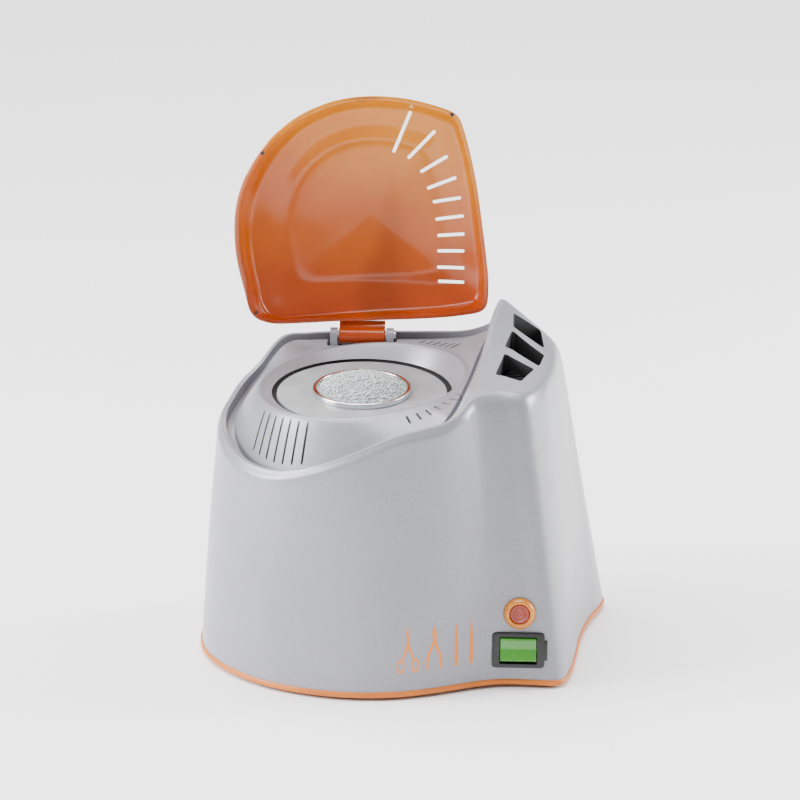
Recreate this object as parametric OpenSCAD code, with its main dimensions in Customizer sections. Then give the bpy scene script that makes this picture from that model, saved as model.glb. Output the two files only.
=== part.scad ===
// Heated bead steriliser for small instruments: moulded housing, open lid, well, switch and inner parts.

/* [Layout] */
// Sideways place of the drum axis from the middle of the part [-30:0.1:0]
drum_x = -21.155;
// Front to back place of the drum axis from the middle of the part [-15:0.1:15]
drum_y = -2.482;
// Points made between two neighbouring control stations [2:1:8]
sub = 2;

/* [Housing] */
// Thickness of the moulded wall [1.8:0.1:3.5]
wall = 2.6;
// Height of the lower edge of the housing [3:0.1:6]
skirt_z = 4.4;
// Width of the raised lip round the deck [1.5:0.1:4]
lip_w = 2.2;
// Depth of the channel inside the lip [2:0.1:6]
channel_d = 3.2;
// Width of the channel inside the lip [3:0.1:8]
channel_w = 4.6;
// Height of the bowl crest at the drum axis [120:0.5:150]
crest_z = 142;
// Radius of the bowl crest [40:0.5:60]
crest_r = 51.5;
// Radius of the bowl at its floor [38:0.5:50]
floor_r = 45;
// Height of the well plate at the drum axis [120:0.5:140]
well_z = 134.5;
// Forward tilt of the well [0:0.5:8]
well_tilt = 5;

/* [Well] */
// Radius of the steel plate [35:0.5:46]
plate_r = 42.6;
// Thickness of the steel plate [1:0.1:3]
plate_t = 1.5;
// Inner radius of the bead cup [15:0.1:30]
cup_r = 22.6;
// Wall of the bead cup [1:0.1:3]
cup_t = 1.4;
// Depth of the bead cup below the plate [40:1:80]
cup_h = 62;
// Radius of the insulation [34:0.5:42]
insul_r = 38;
// Radius of the heater can [38:0.5:46]
can_r = 40;

/* [Hinge] */
// Sideways place of the hinge from the drum axis [-10:0.5:10]
hinge_x = -3;
// Place of the hinge axis behind the drum axis [50:0.5:66]
hinge_y = 58.5;
// Height of the hinge axis [140:0.5:156]
hinge_z = 148;
// Angle between the closed and the open lid [90:1:115]
open_angle = 100;
// Radius of the hinge pin [1:0.1:3]
pin_r = 2;
// Play between the pin and the lid [0.03:0.01:0.1]
pin_play = 0.06;

/* [Lid] */
// Thickness of the lid shell [1.6:0.1:3]
lid_t = 2.2;
// Width of the hinge tongue [15:0.5:30]
tongue_w = 24;

/* [Controls] */
// Rocker cutout centre sideways from the drum axis [60:0.5:90]
switch_x = 80;
// Height of the rocker switch [16:0.5:60]
switch_z = 19.5;
// Pilot lamp centre sideways from the drum axis [60:0.5:90]
lamp_x = 80.5;
// Height of the pilot lamp [34:0.5:80]
lamp_z = 38;

/* [Hidden] */
eps = 0.01;
// Control stations, anticlockwise from the rear left. Each row holds the lip point, the deck edge
// height, the upper edge point of the outer wall, the shoulder point and the foot point.
stations = [
  [-45, 60, 146.5, 145, -46, 61, 145, -48, 63, 139, -56, 66],
  [-56, 52.5, 134.5, 134, -57, 53.5, 133, -59, 55, 127, -69, 54],
  [-64, 40, 128.5, 126.5, -65, 40.5, 127, -67, 41.5, 121, -77, 40],
  [-68.5, 20, 124.5, 122.5, -69.5, 20, 123, -71, 20.5, 117, -81, 20],
  [-70.5, 3, 122, 120, -71.5, 3, 120.5, -73, 3, 114, -82, 1],
  [-69, -12, 117.5, 115.5, -70, -12.5, 116, -71.5, -13, 110, -79.5, -17],
  [-63.5, -27, 113, 111, -64.5, -27.5, 111.5, -66.5, -28.5, 106, -73.5, -32],
  [-55.5, -40.5, 110.5, 108.5, -56.5, -41, 109, -58, -42.5, 103, -64, -46],
  [-45, -51.5, 110, 108, -45.5, -52.5, 108.5, -47, -54, 103, -51.5, -58.5],
  [-33, -60, 111.8, 109.8, -33.5, -61, 110.5, -34.5, -62.5, 105, -38, -67.5],
  [-17, -66.3, 117, 115, -17, -67.3, 115.5, -17.5, -69, 110, -20, -74.5],
  [0, -68.8, 124, 122, 0, -69.8, 122.5, 0, -71.5, 117, 0, -77.7],
  [18, -67.8, 131.5, 129, 18, -68.8, 130, 18.5, -70, 125, 20, -76],
  [32, -64.8, 134.8, 132, 32.5, -65.8, 133.3, 33, -67, 128, 36, -70.7],
  [43, -61, 137, 134, 43.5, -62, 135.5, 45, -62.6, 130, 50, -64.2],
  [48.5, -56.8, 139.8, 136.5, 51, -56.5, 139.5, 54.5, -54.5, 134, 61.5, -58.7],
  [51.8, -49.6, 143, 138.5, 57, -44.5, 146, 59, -47.5, 140, 73, -55.6],
  [54.8, -39, 147.2, 141, 69, -38, 147, 70.5, -42.8, 140.5, 87, -55.8],
  [56.8, -30, 149.3, 143, 80.5, -36, 146.4, 82.8, -40.6, 140, 100.5, -55.5],
  [59.2, -17, 152, 145, 87.5, -22, 147.2, 91, -25, 140.5, 105.5, -42],
  [61.8, 1, 155.6, 147, 91.5, -4, 148, 95, -5, 140.5, 108.6, -19],
  [64, 17.4, 161, 149, 94.2, 15, 149, 98, 15, 141, 111, 6],
  [66.5, 34, 166.5, 151, 95, 36, 150, 99.5, 37, 141, 116, 33],
  [69, 48, 169.5, 152.5, 93, 53, 151, 99.5, 56, 141, 123, 56.5],
  [70, 58, 168, 152.5, 85.5, 64, 153, 92, 68, 142, 122, 69.5],
  [66, 66, 156, 151, 68, 69, 152.5, 74, 73, 143, 100, 76],
  [52, 70, 148.8, 147, 52.5, 71.2, 147.4, 54, 74, 140, 72, 79],
  [32, 72, 147.4, 145, 32, 73.2, 146, 33, 76, 139, 40, 81],
  [8, 72.5, 147, 144.5, 8, 73.7, 145.6, 8.5, 76.5, 139, 10, 82],
  [-15, 71, 147, 144.5, -15, 72.2, 145.6, -15.5, 75, 139, -18, 80],
  [-32, 67, 147, 145, -32.5, 68.2, 145.6, -33.5, 70.5, 139, -39, 75]
];
// Control points of the lid rim, closed position: place, and height of the top face above it.
lid_pts = [
  [-50, 52.5, 144, 152.5],
  [-59, 47, 133, 150],
  [-62.5, 34, 126.8, 149],
  [-66, 18.5, 122.8, 148.5],
  [-67.2, 3, 120.2, 148.5],
  [-65.6, -11.5, 115.8, 148],
  [-60.6, -25.5, 111.4, 147],
  [-53, -38, 108.8, 146],
  [-43.3, -48.5, 108.2, 145.5],
  [-32, -56.7, 110, 145.5],
  [-16.6, -63, 115.2, 146],
  [0, -65.4, 122.2, 147],
  [17.5, -64.5, 129.2, 148.5],
  [31, -61.6, 132.4, 149.5],
  [41, -58.4, 134.4, 150.5],
  [45.8, -55, 137, 151.5],
  [48.6, -48.4, 139, 152.5],
  [51.5, -38, 141.4, 154],
  [53.6, -29, 143.2, 155.5],
  [56, -16.5, 145.2, 157.5],
  [58.6, 1.3, 147.3, 160.5],
  [60.8, 17.8, 149.4, 163.5],
  [62, 32, 151.4, 166],
  [60, 44.5, 153, 167],
  [47, 48, 152.6, 165.5],
  [30, 49.5, 150.6, 163],
  [8, 50.4, 148.6, 160.5],
  [-15, 51.2, 147.2, 157.5],
  [-34, 52.3, 145.8, 155]
];
// Plan corners of the three vent windows.
windows = [
  [[75, 32], [91, 26], [89, 51], [75, 45.5]],
  [[71, 10], [74.7, 9.7], [88.4, 0.5], [91, 17], [74.6, 28]],
  [[66.7, -20.6], [70.6, -20.7], [79.5, -23.6], [86, -4.7], [71, 4.3]]
];

function mix(a, b, t) = a * (1 - t) + b * t;
function spline4(a, b, c, d, t) =
  0.5 * (2 * b + (c - a) * t + (2 * a - 5 * b + 4 * c - d) * t * t
  + (3 * b - a - 3 * c + d) * t * t * t);
function smooth(p) = let (n = len(p))
  [for (i = [0:n - 1], k = [0:sub - 1])
    spline4(p[(i + n - 1) % n], p[i], p[(i + 1) % n], p[(i + 2) % n], k / sub)];
function column(k) = [for (s = stations) [s[k], s[k + 1], s[k + 2]]];
function inward(r, d, dz) = let (n = len(r))
  [for (i = [0:n - 1])
    let (t = r[(i + 1) % n] - r[(i + n - 1) % n], l = norm([t[0], t[1]]))
    [r[i][0] - t[1] / l * d, r[i][1] + t[0] / l * d, r[i][2] + dz]];
function blend(a, b, t, out, dz) = let (m = [for (i = [0:len(a) - 1]) mix(a[i], b[i], t)])
  inward(m, -out, dz);
function with_z(r, z) = [for (p = r) [p[0], p[1], z]];
function crest_at(x, y) = crest_z + 0.085 * x + 0.09 * y;
function round_ring(r, rad, dz) =
  [for (p = r) let (a = atan2(p[1], p[0]))
    [rad * cos(a), rad * sin(a), crest_at(rad * cos(a), rad * sin(a)) + dz]];
function floor_ring(r, rad, z) =
  [for (p = r) let (a = atan2(p[1], p[0]))
    [rad * cos(a), rad * sin(a), z + rad * sin(a) * tan(well_tilt)]];

lip = smooth(column(0));
edge = smooth(column(4));
shoulder = smooth(column(7));
foot = smooth([for (s = stations) [s[10], s[11], skirt_z]]);
deck_z = smooth([for (s = stations) [s[3], 0, 0]]);
deck_edge = let (r = inward(lip, lip_w + channel_w, 0))
  [for (i = [0:len(r) - 1]) [r[i][0], r[i][1], deck_z[i][0]]];
channel_in = inward(deck_edge, -0.4, -channel_d);
channel_out = let (r = inward(lip, lip_w + 0.3, 0))
  [for (i = [0:len(r) - 1]) [r[i][0], r[i][1], deck_z[i][0] - channel_d]];
crest_out = round_ring(deck_edge, crest_r + 2.6, -2);

// Rings of the housing skin, outside first, then back along the inside.
skin = [
  foot,
  blend(foot, shoulder, 0.35, 0.6, 0),
  blend(foot, shoulder, 0.7, 0.6, 0),
  shoulder,
  blend(shoulder, edge, 0.55, 0.7, 0.6),
  edge,
  blend(edge, lip, 0.85, 0, 0.5),
  lip,
  inward(lip, lip_w, 0),
  channel_out,
  channel_in,
  deck_edge,
  blend(deck_edge, crest_out, 0.5, 0, 0.8),
  crest_out,
  round_ring(deck_edge, crest_r, 0),
  round_ring(deck_edge, crest_r - 1.4, -1.4),
  floor_ring(deck_edge, floor_r, well_z + 0.8),
  floor_ring(deck_edge, floor_r + wall, well_z + 0.8),
  round_ring(deck_edge, crest_r + 1.2, -5),
  inward(deck_edge, 2, -wall - channel_d - 0.2),
  inward(channel_out, 0.2, -wall - 0.2),
  inward(with_z(lip, 0), lip_w + 1.6, 0),
  inward(shoulder, wall + 0.6, -2),
  blend(foot, shoulder, 0.7, 0.6 - wall, 0),
  blend(foot, shoulder, 0.35, 0.6 - wall, 0),
  inward(foot, wall, 0)
];
// The ring under the lip follows the lower of the lip and the shoulder.
skin_fixed = [for (k = [0:len(skin) - 1])
  k != 21 ? skin[k] :
  let (a = inward(edge, wall + 0.8, -wall - 0.6), b = inward(lip, lip_w + 2, -wall - 0.6))
  [for (i = [0:len(a) - 1])
    mix(b[i], a[i], 0.5)]];

module torus_skin(rings) {
  m = len(rings);
  n = len(rings[0]);
  pts = [for (r = rings, p = r) p];
  faces = [for (j = [0:m - 1], i = [0:n - 1])
    let (a = j * n + i, b = j * n + (i + 1) % n,
      c = ((j + 1) % m) * n + (i + 1) % n, d = ((j + 1) % m) * n + i)
    each [[a, c, b], [a, d, c]]];
  polyhedron(points = pts, faces = faces, convexity = 8);
}
// A shell closed at both poles: outer rings from the rim up, then inner rings back down.
module cap_skin(rings, top, under, flip) {
  m = len(rings);
  n = len(rings[0]);
  pts = concat([for (r = rings, p = r) p], [top, under]);
  split = flip;
  faces = concat(
    [for (j = [0:m - 1], i = [0:n - 1]) if (j != split)
      let (a = j * n + i, b = j * n + (i + 1) % n,
        c = ((j + 1) % m) * n + (i + 1) % n, d = ((j + 1) % m) * n + i)
      each [[a, c, b], [a, d, c]]],
    [for (i = [0:n - 1]) [split * n + i, m * n, split * n + (i + 1) % n]],
    [for (i = [0:n - 1]) [(split + 1) * n + (i + 1) % n, m * n + 1, (split + 1) * n + i]]
  );
  polyhedron(points = pts, faces = faces, convexity = 8);
}
module drum() { translate([drum_x, drum_y, 0]) children(); }
module well() { translate([drum_x, drum_y, well_z]) rotate([well_tilt, 0, 0]) children(); }
module tube(r_out, r_in, h) {
  difference() {
    cylinder(r = r_out, h = h, $fn = 64);
    translate([0, 0, -1]) cylinder(r = r_in, h = h + 2, $fn = 64);
  }
}
module face_frame(x, z) {
  // Frame on the front wall of the wing: x to the right, y up the wall, z out of it.
  translate([x, face_y(z), z]) rotate([90 - face_lean, 0, 0]) children();
}
face_lean = 5.5;
function face_y(z) = -56.4 + z * tan(face_lean);

// Fixing points: pillars under the floor, rubber feet, legs of the can.
pillars = [[-73.8, 19.6], [-52.2, -47.7], [92, -48.2], [115.2, 57.5], [10, 74.6]];
feet_at = [[-62, 34], [-42, -52], [84, -42], [106, 62]];
leg_angles = [30, 150, 270];
leg_at = 46;
base_z = 1.6;
floor_t = skirt_z - base_z;
lid_slots = [
  [12, -36, 21, -57.5], [19.5, -33, 33.5, -47.5], [26, -26, 40, -34.5], [29.5, -17.5, 44.5, -23.5],
  [32.5, -10.5, 47, -13], [34, -1.5, 48.5, -3.5], [35, 7, 49, 6], [35, 15, 49, 15],
  [35, 23.5, 49, 24], [35.5, 31, 49, 31.5]
];
deck_slots = [
  [211, 53.5, 60.5], [216.5, 53.5, 60.5], [222, 53.5, 60.5], [227.5, 53.5, 60.5],
  [233, 53.5, 60.5], [238.5, 53.5, 60.5], [244, 53.5, 60.5],
  [296, 55, 61], [301.6, 55, 60], [307.2, 55, 60], [312.8, 55, 60], [318.4, 55, 60],
  [324, 55, 59.5], [329.6, 55, 59.5],
  [41, 57, 63], [45.2, 57, 64], [49.4, 57, 64], [53.6, 57, 65], [57.8, 57, 65], [62, 57, 65]
];

module inlet_frame() { translate([56, 79.1, 30]) rotate([0, 0, -3.6]) rotate([90, 0, 180]) children(); }
module hinge_frame() { translate([hinge_x, hinge_y, hinge_z]) children(); }
module x_rod(r, x0, x1) { translate([x0, 0, 0]) rotate([0, 90, 0]) cylinder(r = r, h = x1 - x0, $fn = 48); }
module block(w, h, d, z0) { translate([-w / 2, -h / 2, z0]) cube([w, h, d]); }
// A round bar through a list of points, with ball joints.
module wire(pts, r) {
  for (i = [0:len(pts) - 2]) {
    d = pts[i + 1] - pts[i];
    translate(pts[i]) rotate([0, acos(d[2] / norm(d)), atan2(d[1], d[0])]) cylinder(r = r, h = norm(d), $fn = 24);
    if (i > 0) translate(pts[i]) sphere(r = r * 1.08, $fn = 24);
  }
}
module screw(r, l, head_r, head_h) {
  // Points up from a head whose underside rests at z = 0.
  cylinder(r = r, h = l, $fn = 32);
  translate([0, 0, -head_h])
    difference() {
      cylinder(r = head_r, h = head_h, $fn = 32);
      translate([-head_r * 0.7, -0.3, -1]) cube([head_r * 1.4, 0.6, 1 + head_h * 0.5]);
      translate([-0.3, -head_r * 0.7, -1]) cube([0.6, head_r * 1.4, 1 + head_h * 0.5]);
    }
}

module housing() {
  color("silver") drum() resize([0, 0, 0]) difference() {
    union() {
      torus_skin(skin_fixed);
      for (p = pillars) translate([p[0], p[1], skirt_z + 0.4]) cylinder(r = 5, h = 19.3, $fn = 24);
    }
    for (p = pillars) translate([p[0], p[1], skirt_z - 1]) cylinder(r = 1.7, h = 16, $fn = 16);
    for (w = windows) translate([0, 0, 138]) linear_extrude(height = 40) polygon(w);
    for (d = deck_slots) rotate([0, 0, d[0]]) translate([d[1], -0.6, 100]) cube([d[2] - d[1], 1.2, 60]);
    translate([hinge_x - 18, 53.6, 137]) cube([36, 14.4, 20]);
    for (s = [-1, 1]) translate([hinge_x + s * 25, 63, 130]) cylinder(r = 1.55, h = 12, $fn = 16);
    face_frame(switch_x, switch_z) {
      block(21.2, 16, 30, -15);
      block(26, 18, 10, 0.2);
    }
    face_frame(lamp_x, lamp_z) {
      translate([0, 0, -15]) cylinder(r = 5.6, h = 30, $fn = 48);
      translate([0, 0, 0.2]) cylinder(r = 8.2, h = 10, $fn = 48);
    }
    inlet_frame() {
      block(28, 20.6, 30, -15);
      block(50.6, 23, 10, 0);
      for (s = [-1, 1]) translate([s * 20, 0, -15]) cylinder(r = 1.7, h = 30, $fn = 32);
    }
  }
}
module base_trim() {
  rings = [
    inward(with_z(foot, skirt_z), 1.5, 0), inward(with_z(foot, base_z), 1.5, 0),
    inward(with_z(foot, base_z), -0.6, 0), inward(with_z(foot, base_z + 0.6), -1, 0),
    inward(with_z(foot, skirt_z - 0.5), -0.9, 0), inward(with_z(foot, skirt_z), -0.5, 0)
  ];
  color("darkorange") drum() torus_skin(rings);
}
module base_plate() {
  outline = [for (p = inward(foot, 1.7, 0)) [p[0], p[1]]];
  color("dimgray") drum() difference() {
    translate([0, 0, base_z]) linear_extrude(height = floor_t) polygon(outline);
    for (p = pillars) translate([p[0], p[1], 0]) {
      cylinder(r = 1.8, h = 10, $fn = 32);
      cylinder(r = 3.4, h = base_z + 1.7, $fn = 32);
    }
    for (p = feet_at) translate([p[0], p[1], 0]) cylinder(r = 2.1, h = 10, $fn = 32);
    for (a = leg_angles) rotate([0, 0, a]) translate([leg_at, 0, 0]) {
      cylinder(r = 1.1, h = 10, $fn = 32);
      cylinder(r = 2.4, h = base_z + 1.5, $fn = 32);
    }
    for (i = [-4:4]) translate([i * 6 - 1, -14, 0]) cube([2, 34, 10]);
    for (i = [0:4]) translate([62 + i * 6, -20, 0]) cube([2, 22, 10]);
  }
}
module feet() {
  color("black") drum() for (p = feet_at) translate([p[0], p[1], 0]) rotate_extrude($fn = 48)
    polygon([[0, 0], [6.2, 0], [7, 0.8], [7, base_z], [2, base_z], [2, skirt_z],
      [2.6, skirt_z + 0.1], [1.6, skirt_z + 1.8], [0, skirt_z + 1.8]]);
}
module base_screws() {
  color("silver") drum() for (p = pillars) translate([p[0], p[1], base_z + 1.7]) screw(1.5, 15, 3.1, 1.4);
}
module vent_screen() {
  color("black") drum() difference() {
    union() {
      translate([0, 0, 136]) linear_extrude(height = 1.6)
        polygon([[66, -26], [82, -28], [87, -2], [91, 24], [90, 46], [75, 46], [68, 10]]);
      for (p = [[70.5, -16.6], [87.2, 22], [82, 42]]) translate([p[0], p[1], 126]) cylinder(r = 1.6, h = 11, $fn = 24);
    }
    for (i = [0:11]) translate([60, -23 + i * 5.6, 130]) rotate([0, 0, 14]) translate([9, 0, 0]) cube([14 + 0.4 * i, 2, 20]);
  }
}

lid_rim = smooth([for (p = lid_pts) [p[0], p[1], p[2]]]);
lid_top = smooth([for (p = lid_pts) [p[0], p[1], p[3]]]);
lid_mid = [0, -4, 158.5];
function to_mid(r, t, dz) = [for (p = r) mix(p, lid_mid, t) + [0, 0, dz]];
function shrink(r, t, dz) =
  [for (p = r) [mix(p[0], lid_mid[0], t), mix(p[1], lid_mid[1], t), p[2] + dz]];
lid_shoulder = [for (i = [0:len(lid_rim) - 1]) mix(lid_rim[i], lid_top[i], 0.55)];
lid_wall = 0.036;
lid_skin = [
  lid_rim,
  shrink(lid_shoulder, 0.013, 0),
  shrink(lid_top, 0.045, -2.6),
  shrink(lid_top, 0.1, -0.4),
  shrink(lid_top, 0.25, 1.2),
  to_mid(lid_top, 0.36, 1.6),
  to_mid(lid_top, 0.4, 0.2),
  to_mid(lid_top, 0.7, 1.2),
  to_mid(lid_top, 0.7, 1.2 - lid_t),
  to_mid(lid_top, 0.4, 0.2 - lid_t),
  to_mid(lid_top, 0.36, 1.6 - lid_t),
  shrink(lid_top, 0.25, 1.2 - lid_t),
  shrink(lid_top, 0.11, -0.4 - lid_t),
  shrink(lid_top, 0.045 + lid_wall, -2.8 - lid_t * 0.4),
  shrink(lid_shoulder, 0.013 + lid_wall, 0),
  shrink(lid_rim, lid_wall, 0)
];
module tongue_arm() {
  hinge_frame() translate([-tongue_w / 2, 0, 0]) rotate([90, 0, 90]) linear_extrude(height = tongue_w)
    polygon([[0, 4], [-4.4, 4.8], [-5.9, 7], [-7.4, 8.6], [-7.4, 3.2], [-4.6, 1.4], [0, 1]]);
}
module lid_closed() {
  resize([0, 0, 0]) difference() {
    cap_skin(lid_skin, lid_mid + [0, 0, 1.4], lid_mid + [0, 0, 1.4 - lid_t], 7);
    for (s = lid_slots) let (d = [s[2] - s[0], s[3] - s[1]])
      translate([s[0], s[1], 150]) rotate([0, 0, atan2(d[1], d[0])]) translate([0, -0.8, 0]) cube([norm(d), 1.6, 30]);
  }
}
module lid_tongue() {
  color("darkorange") drum() opened() difference() {
    union() {
      tongue_arm();
      hinge_frame() x_rod(4, -tongue_w / 2, tongue_w / 2);
    }
    hinge_frame() x_rod(pin_r + pin_play, -40, 40);
  }
}
module opened() {
  hinge_frame() rotate([-open_angle, 0, 0]) translate([-hinge_x, -hinge_y, -hinge_z]) children();
}
module lid() {
  color([0.9, 0.5, 0.15, 0.6]) drum() opened() lid_closed();
}
module lid_buffers() {
  color("black") drum() opened() for (p = [[-52, -36.5, 109.6], [42.5, -56.2, 135.6], [-57, 46, 134.8]])
    translate(p) translate([0, 0, -1.4]) cylinder(r = 1, h = 2.6, $fn = 32);
}
module hinge_pin() {
  color("silver") drum() hinge_frame() {
    x_rod(pin_r, -16.4, 16.4);
    x_rod(3, 16.4, 17.4);
  }
}
module hinge_bracket() {
  color("gray") drum() difference() {
    union() {
      translate([hinge_x - 31, 54.5, 135.4]) cube([62, 13, 2.4]);
      for (s = [-1, 1]) hinge_frame() {
        x_rod(4.2, s * 14.5 - 1.9, s * 14.5 + 1.9);
        translate([s * 14.5 - 1.9, -4.2, 137 - hinge_z]) cube([3.8, 8.4, hinge_z - 137]);
      }
    }
    hinge_frame() x_rod(pin_r, -20, 20);
    for (s = [-1, 1]) translate([hinge_x + s * 25, 63, 130]) cylinder(r = 1.6, h = 20, $fn = 32);
  }
}
module hinge_screws() {
  color("silver") drum() for (s = [-1, 1]) translate([hinge_x + s * 25, 63, 135.4]) screw(1.3, 6, 2.8, 1.6);
}
module well_plate() {
  color("silver") well() translate([0, 0, -1]) tube(plate_r, cup_r + cup_t + 0.1, plate_t);
}
module bead_cup() {
  r1 = cup_r + cup_t;
  color("gainsboro") well() rotate_extrude($fn = 96)
    polygon([[0, -cup_h], [r1, -cup_h], [r1, 0.6], [r1 + 0.9, 0.6], [r1 + 0.9, 2.8], [r1 + 0.4, 3.3],
      [cup_r + 0.3, 3.3], [cup_r, 3], [cup_r, cup_t - cup_h], [0, cup_t - cup_h]]);
}
module quartz_beads() {
  color("white") well() intersection() {
    translate([0, 0, cup_t - cup_h + 0.1]) cylinder(r = cup_r - 0.1, h = 90, $fn = 64);
    translate([0, 0, -27.5]) union() {
      sphere(r = 37, $fn = 96);
      translate([0, 0, -60]) cylinder(r = 37, h = 60, $fn = 64);
    }
  }
}
module heater_band() {
  color("goldenrod") well() translate([0, 0, -52]) tube(cup_r + cup_t + 2.4, cup_r + cup_t + 0.05, 38);
}
module heater_clamp() {
  color("silver") well() difference() {
    union() {
      translate([26.2, -4, -36]) cube([4.6, 3, 12]);
      translate([26.2, 1, -36]) cube([4.6, 3, 12]);
      translate([28.6, 7, -30]) rotate([90, 0, 0]) cylinder(r = 1.2, h = 14, $fn = 32);
      translate([28.6, -4, -30]) rotate([90, 0, 0]) cylinder(r = 2.2, h = 1.8, $fn = 32);
      translate([28.6, 6.2, -30]) rotate([90, 0, 0]) cylinder(r = 2.2, h = 2.2, $fn = 6);
    }
    translate([0, 0, -60]) cylinder(r = cup_r + cup_t + 2.41, h = 60, $fn = 64);
  }
}
module insulation() {
  color("wheat") well() translate([0, 0, -56]) tube(insul_r, 32, 50);
}
module heater_can() {
  color("lightgray") well() difference() {
    union() {
      translate([0, 0, -66]) cylinder(r = can_r, h = 64.5, $fn = 96);
      translate([0, 0, -2.4]) cylinder(r = 48.4, h = 1.3, $fn = 96);
    }
    translate([0, 0, -65]) cylinder(r = can_r - 1.2, h = 80, $fn = 96);
    translate([0, 0, -80]) cylinder(r = 6, h = 30, $fn = 48);
  }
}
module can_legs() {
  color("silver") drum() difference() {
    for (a = leg_angles) rotate([0, 0, a]) translate([leg_at, 0, skirt_z]) cylinder(r = 2, h = 140, $fn = 32);
    translate([0, 0, well_z]) rotate([well_tilt, 0, 0]) translate([-80, -80, -2.45]) cube([160, 160, 60]);
    for (a = leg_angles) rotate([0, 0, a]) translate([leg_at, 0, 0]) cylinder(r = 1, h = 14, $fn = 32);
  }
}
module can_screws() {
  color("silver") drum() for (a = leg_angles) rotate([0, 0, a])
    translate([leg_at, 0, base_z + 1.5]) screw(1, 10, 2.2, 1.3);
}
module thermostat() {
  color("saddlebrown") well() translate([can_r + 1.5, 0, -36]) rotate([0, 90, 0]) {
    cylinder(r = 8, h = 3, $fn = 48);
    translate([0, 0, 3]) cylinder(r = 7, h = 8, $fn = 48);
    for (s = [-1, 1]) translate([-0.4, s * 4 - 1.6, 11]) cube([0.8, 3.2, 6]);
  }
}
module thermostat_bracket() {
  color("silver") well() difference() {
    union() {
      translate([can_r - 0.6, -13, -44]) cube([2, 26, 16]);
      for (s = [-1, 1]) translate([can_r + 1.4, s * 10.6 - 1.2, -40]) cube([1.4, 2.4, 8]);
    }
    translate([0, 0, -70]) cylinder(r = can_r + 0.02, h = 60, $fn = 96);
  }
}
module thermal_fuse() {
  color("lightsteelblue") well() translate([-can_r - 2.4, 0, -30]) {
    translate([0, 8, 0]) rotate([90, 0, 0]) cylinder(r = 2.3, h = 16, $fn = 32);
    for (s = [-1, 1]) translate([0, s * 8 + 3, 0]) rotate([90, 0, 0]) cylinder(r = 0.6, h = 6, $fn = 24);
  }
}
module switch_frame() {
  color("black") drum() face_frame(switch_x, switch_z) difference() {
    union() {
      block(25.5, 17.5, 1.9, 0.2);
      block(21, 15.8, 20.2, -20);
      translate([12.7, -5, 0.2]) cube([1.6, 10, 1.2]);
    }
    block(18.4, 13.8, 30, -18.5);
    translate([0, 0, -0.5]) x_rod(1.25, -10, 10);
  }
}
module switch_rocker() {
  color("green") drum() face_frame(switch_x, switch_z) translate([0, 0, -0.5]) rotate([-10, 0, 0]) {
    intersection() {
      x_rod(6.5, -8.8, 8.8);
      rotate([90, 0, 90]) translate([0, 0, -10]) linear_extrude(height = 20)
        polygon([[-7, -3], [-7, 4.2], [0, 2.9], [7, 4.2], [7, -3]]);
    }
    x_rod(1.2, -9.9, 9.9);
    translate([-3, -1.5, -9]) cube([6, 3, 7]);
  }
}
module switch_terminals() {
  color("gold") drum() face_frame(switch_x, switch_z)
    for (x = [-6, 0, 6]) translate([x - 0.4, -2.4, -27]) cube([0.8, 4.8, 7]);
}
module lamp_bezel() {
  color("orange") drum() face_frame(lamp_x, lamp_z) rotate_extrude($fn = 64)
    polygon([[5.1, 3.2], [6.2, 3.6], [7.2, 2.6], [7.9, 0.9], [7.9, 0.2], [5.5, 0.2], [5.5, -18],
      [4.4, -18], [4.4, 1.2], [5.1, 1.2]]);
}
module lamp_lens() {
  color("darkred") drum() face_frame(lamp_x, lamp_z) {
    translate([0, 0, 1.3]) cylinder(r = 5, h = 1.5, $fn = 64);
    translate([0, 0, -12]) cylinder(r = 2.6, h = 13.3, $fn = 48);
  }
}
module lamp_nut() {
  color("dimgray") drum() face_frame(lamp_x, lamp_z) translate([0, 0, -6.8]) difference() {
    cylinder(r = 9, h = 3, $fn = 6);
    translate([0, 0, -1]) cylinder(r = 5.55, h = 6, $fn = 48);
  }
}
module inlet() {
  color("black") drum() inlet_frame() difference() {
    union() {
      block(50, 22.5, 3, 0);
      block(27.4, 20, 22, -20);
    }
    block(24.4, 16.6, 30, -15.5);
    for (s = [-1, 1]) translate([s * 20, 0, -2]) {
      cylinder(r = 1.7, h = 8, $fn = 32);
      translate([0, 0, 3.2]) cylinder(r = 3.3, h = 4, $fn = 32);
    }
    for (x = [-7, 0, 7]) translate([x - 1, x == 0 ? 0.5 : -3.5, -25]) cube([2, 4, 12]);
  }
}
module inlet_pins() {
  color("gold") drum() inlet_frame() for (x = [-7, 0, 7])
    translate([x - 1, x == 0 ? 0.5 : -3.5, -26]) cube([2, 4, 22]);
}
module inlet_screws() {
  color("silver") drum() inlet_frame() for (s = [-1, 1])
    translate([s * 20, 0, 1.2]) rotate([180, 0, 0]) screw(1.6, 12, 3.1, 1.6);
}
module terminal_block() {
  color("ivory") drum() difference() {
    translate([62, 30, skirt_z]) cube([30, 14, 13]);
    for (x = [67, 77, 87]) {
      translate([x, 37, skirt_z + 8]) cylinder(r = 2.2, h = 10, $fn = 32);
      translate([x, 37, skirt_z + 6]) cylinder(r = 1.35, h = 4, $fn = 32);
      translate([x, 20, skirt_z + 5.5]) rotate([-90, 0, 0]) cylinder(r = 1.8, h = 40, $fn = 32);
    }
  }
}
module terminal_screws() {
  color("silver") drum() for (x = [67, 77, 87])
    translate([x, 37, skirt_z + 11]) rotate([180, 0, 0]) screw(1.2, 3.6, 2.1, 1.4);
}
module earth_stud() {
  color("silver") drum() translate([98, 20, skirt_z]) {
    cylinder(r = 2, h = 12, $fn = 32);
    cylinder(r = 4.2, h = 3, $fn = 6);
    translate([0, 0, 6.2]) cylinder(r = 4.2, h = 3, $fn = 6);
  }
}
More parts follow.
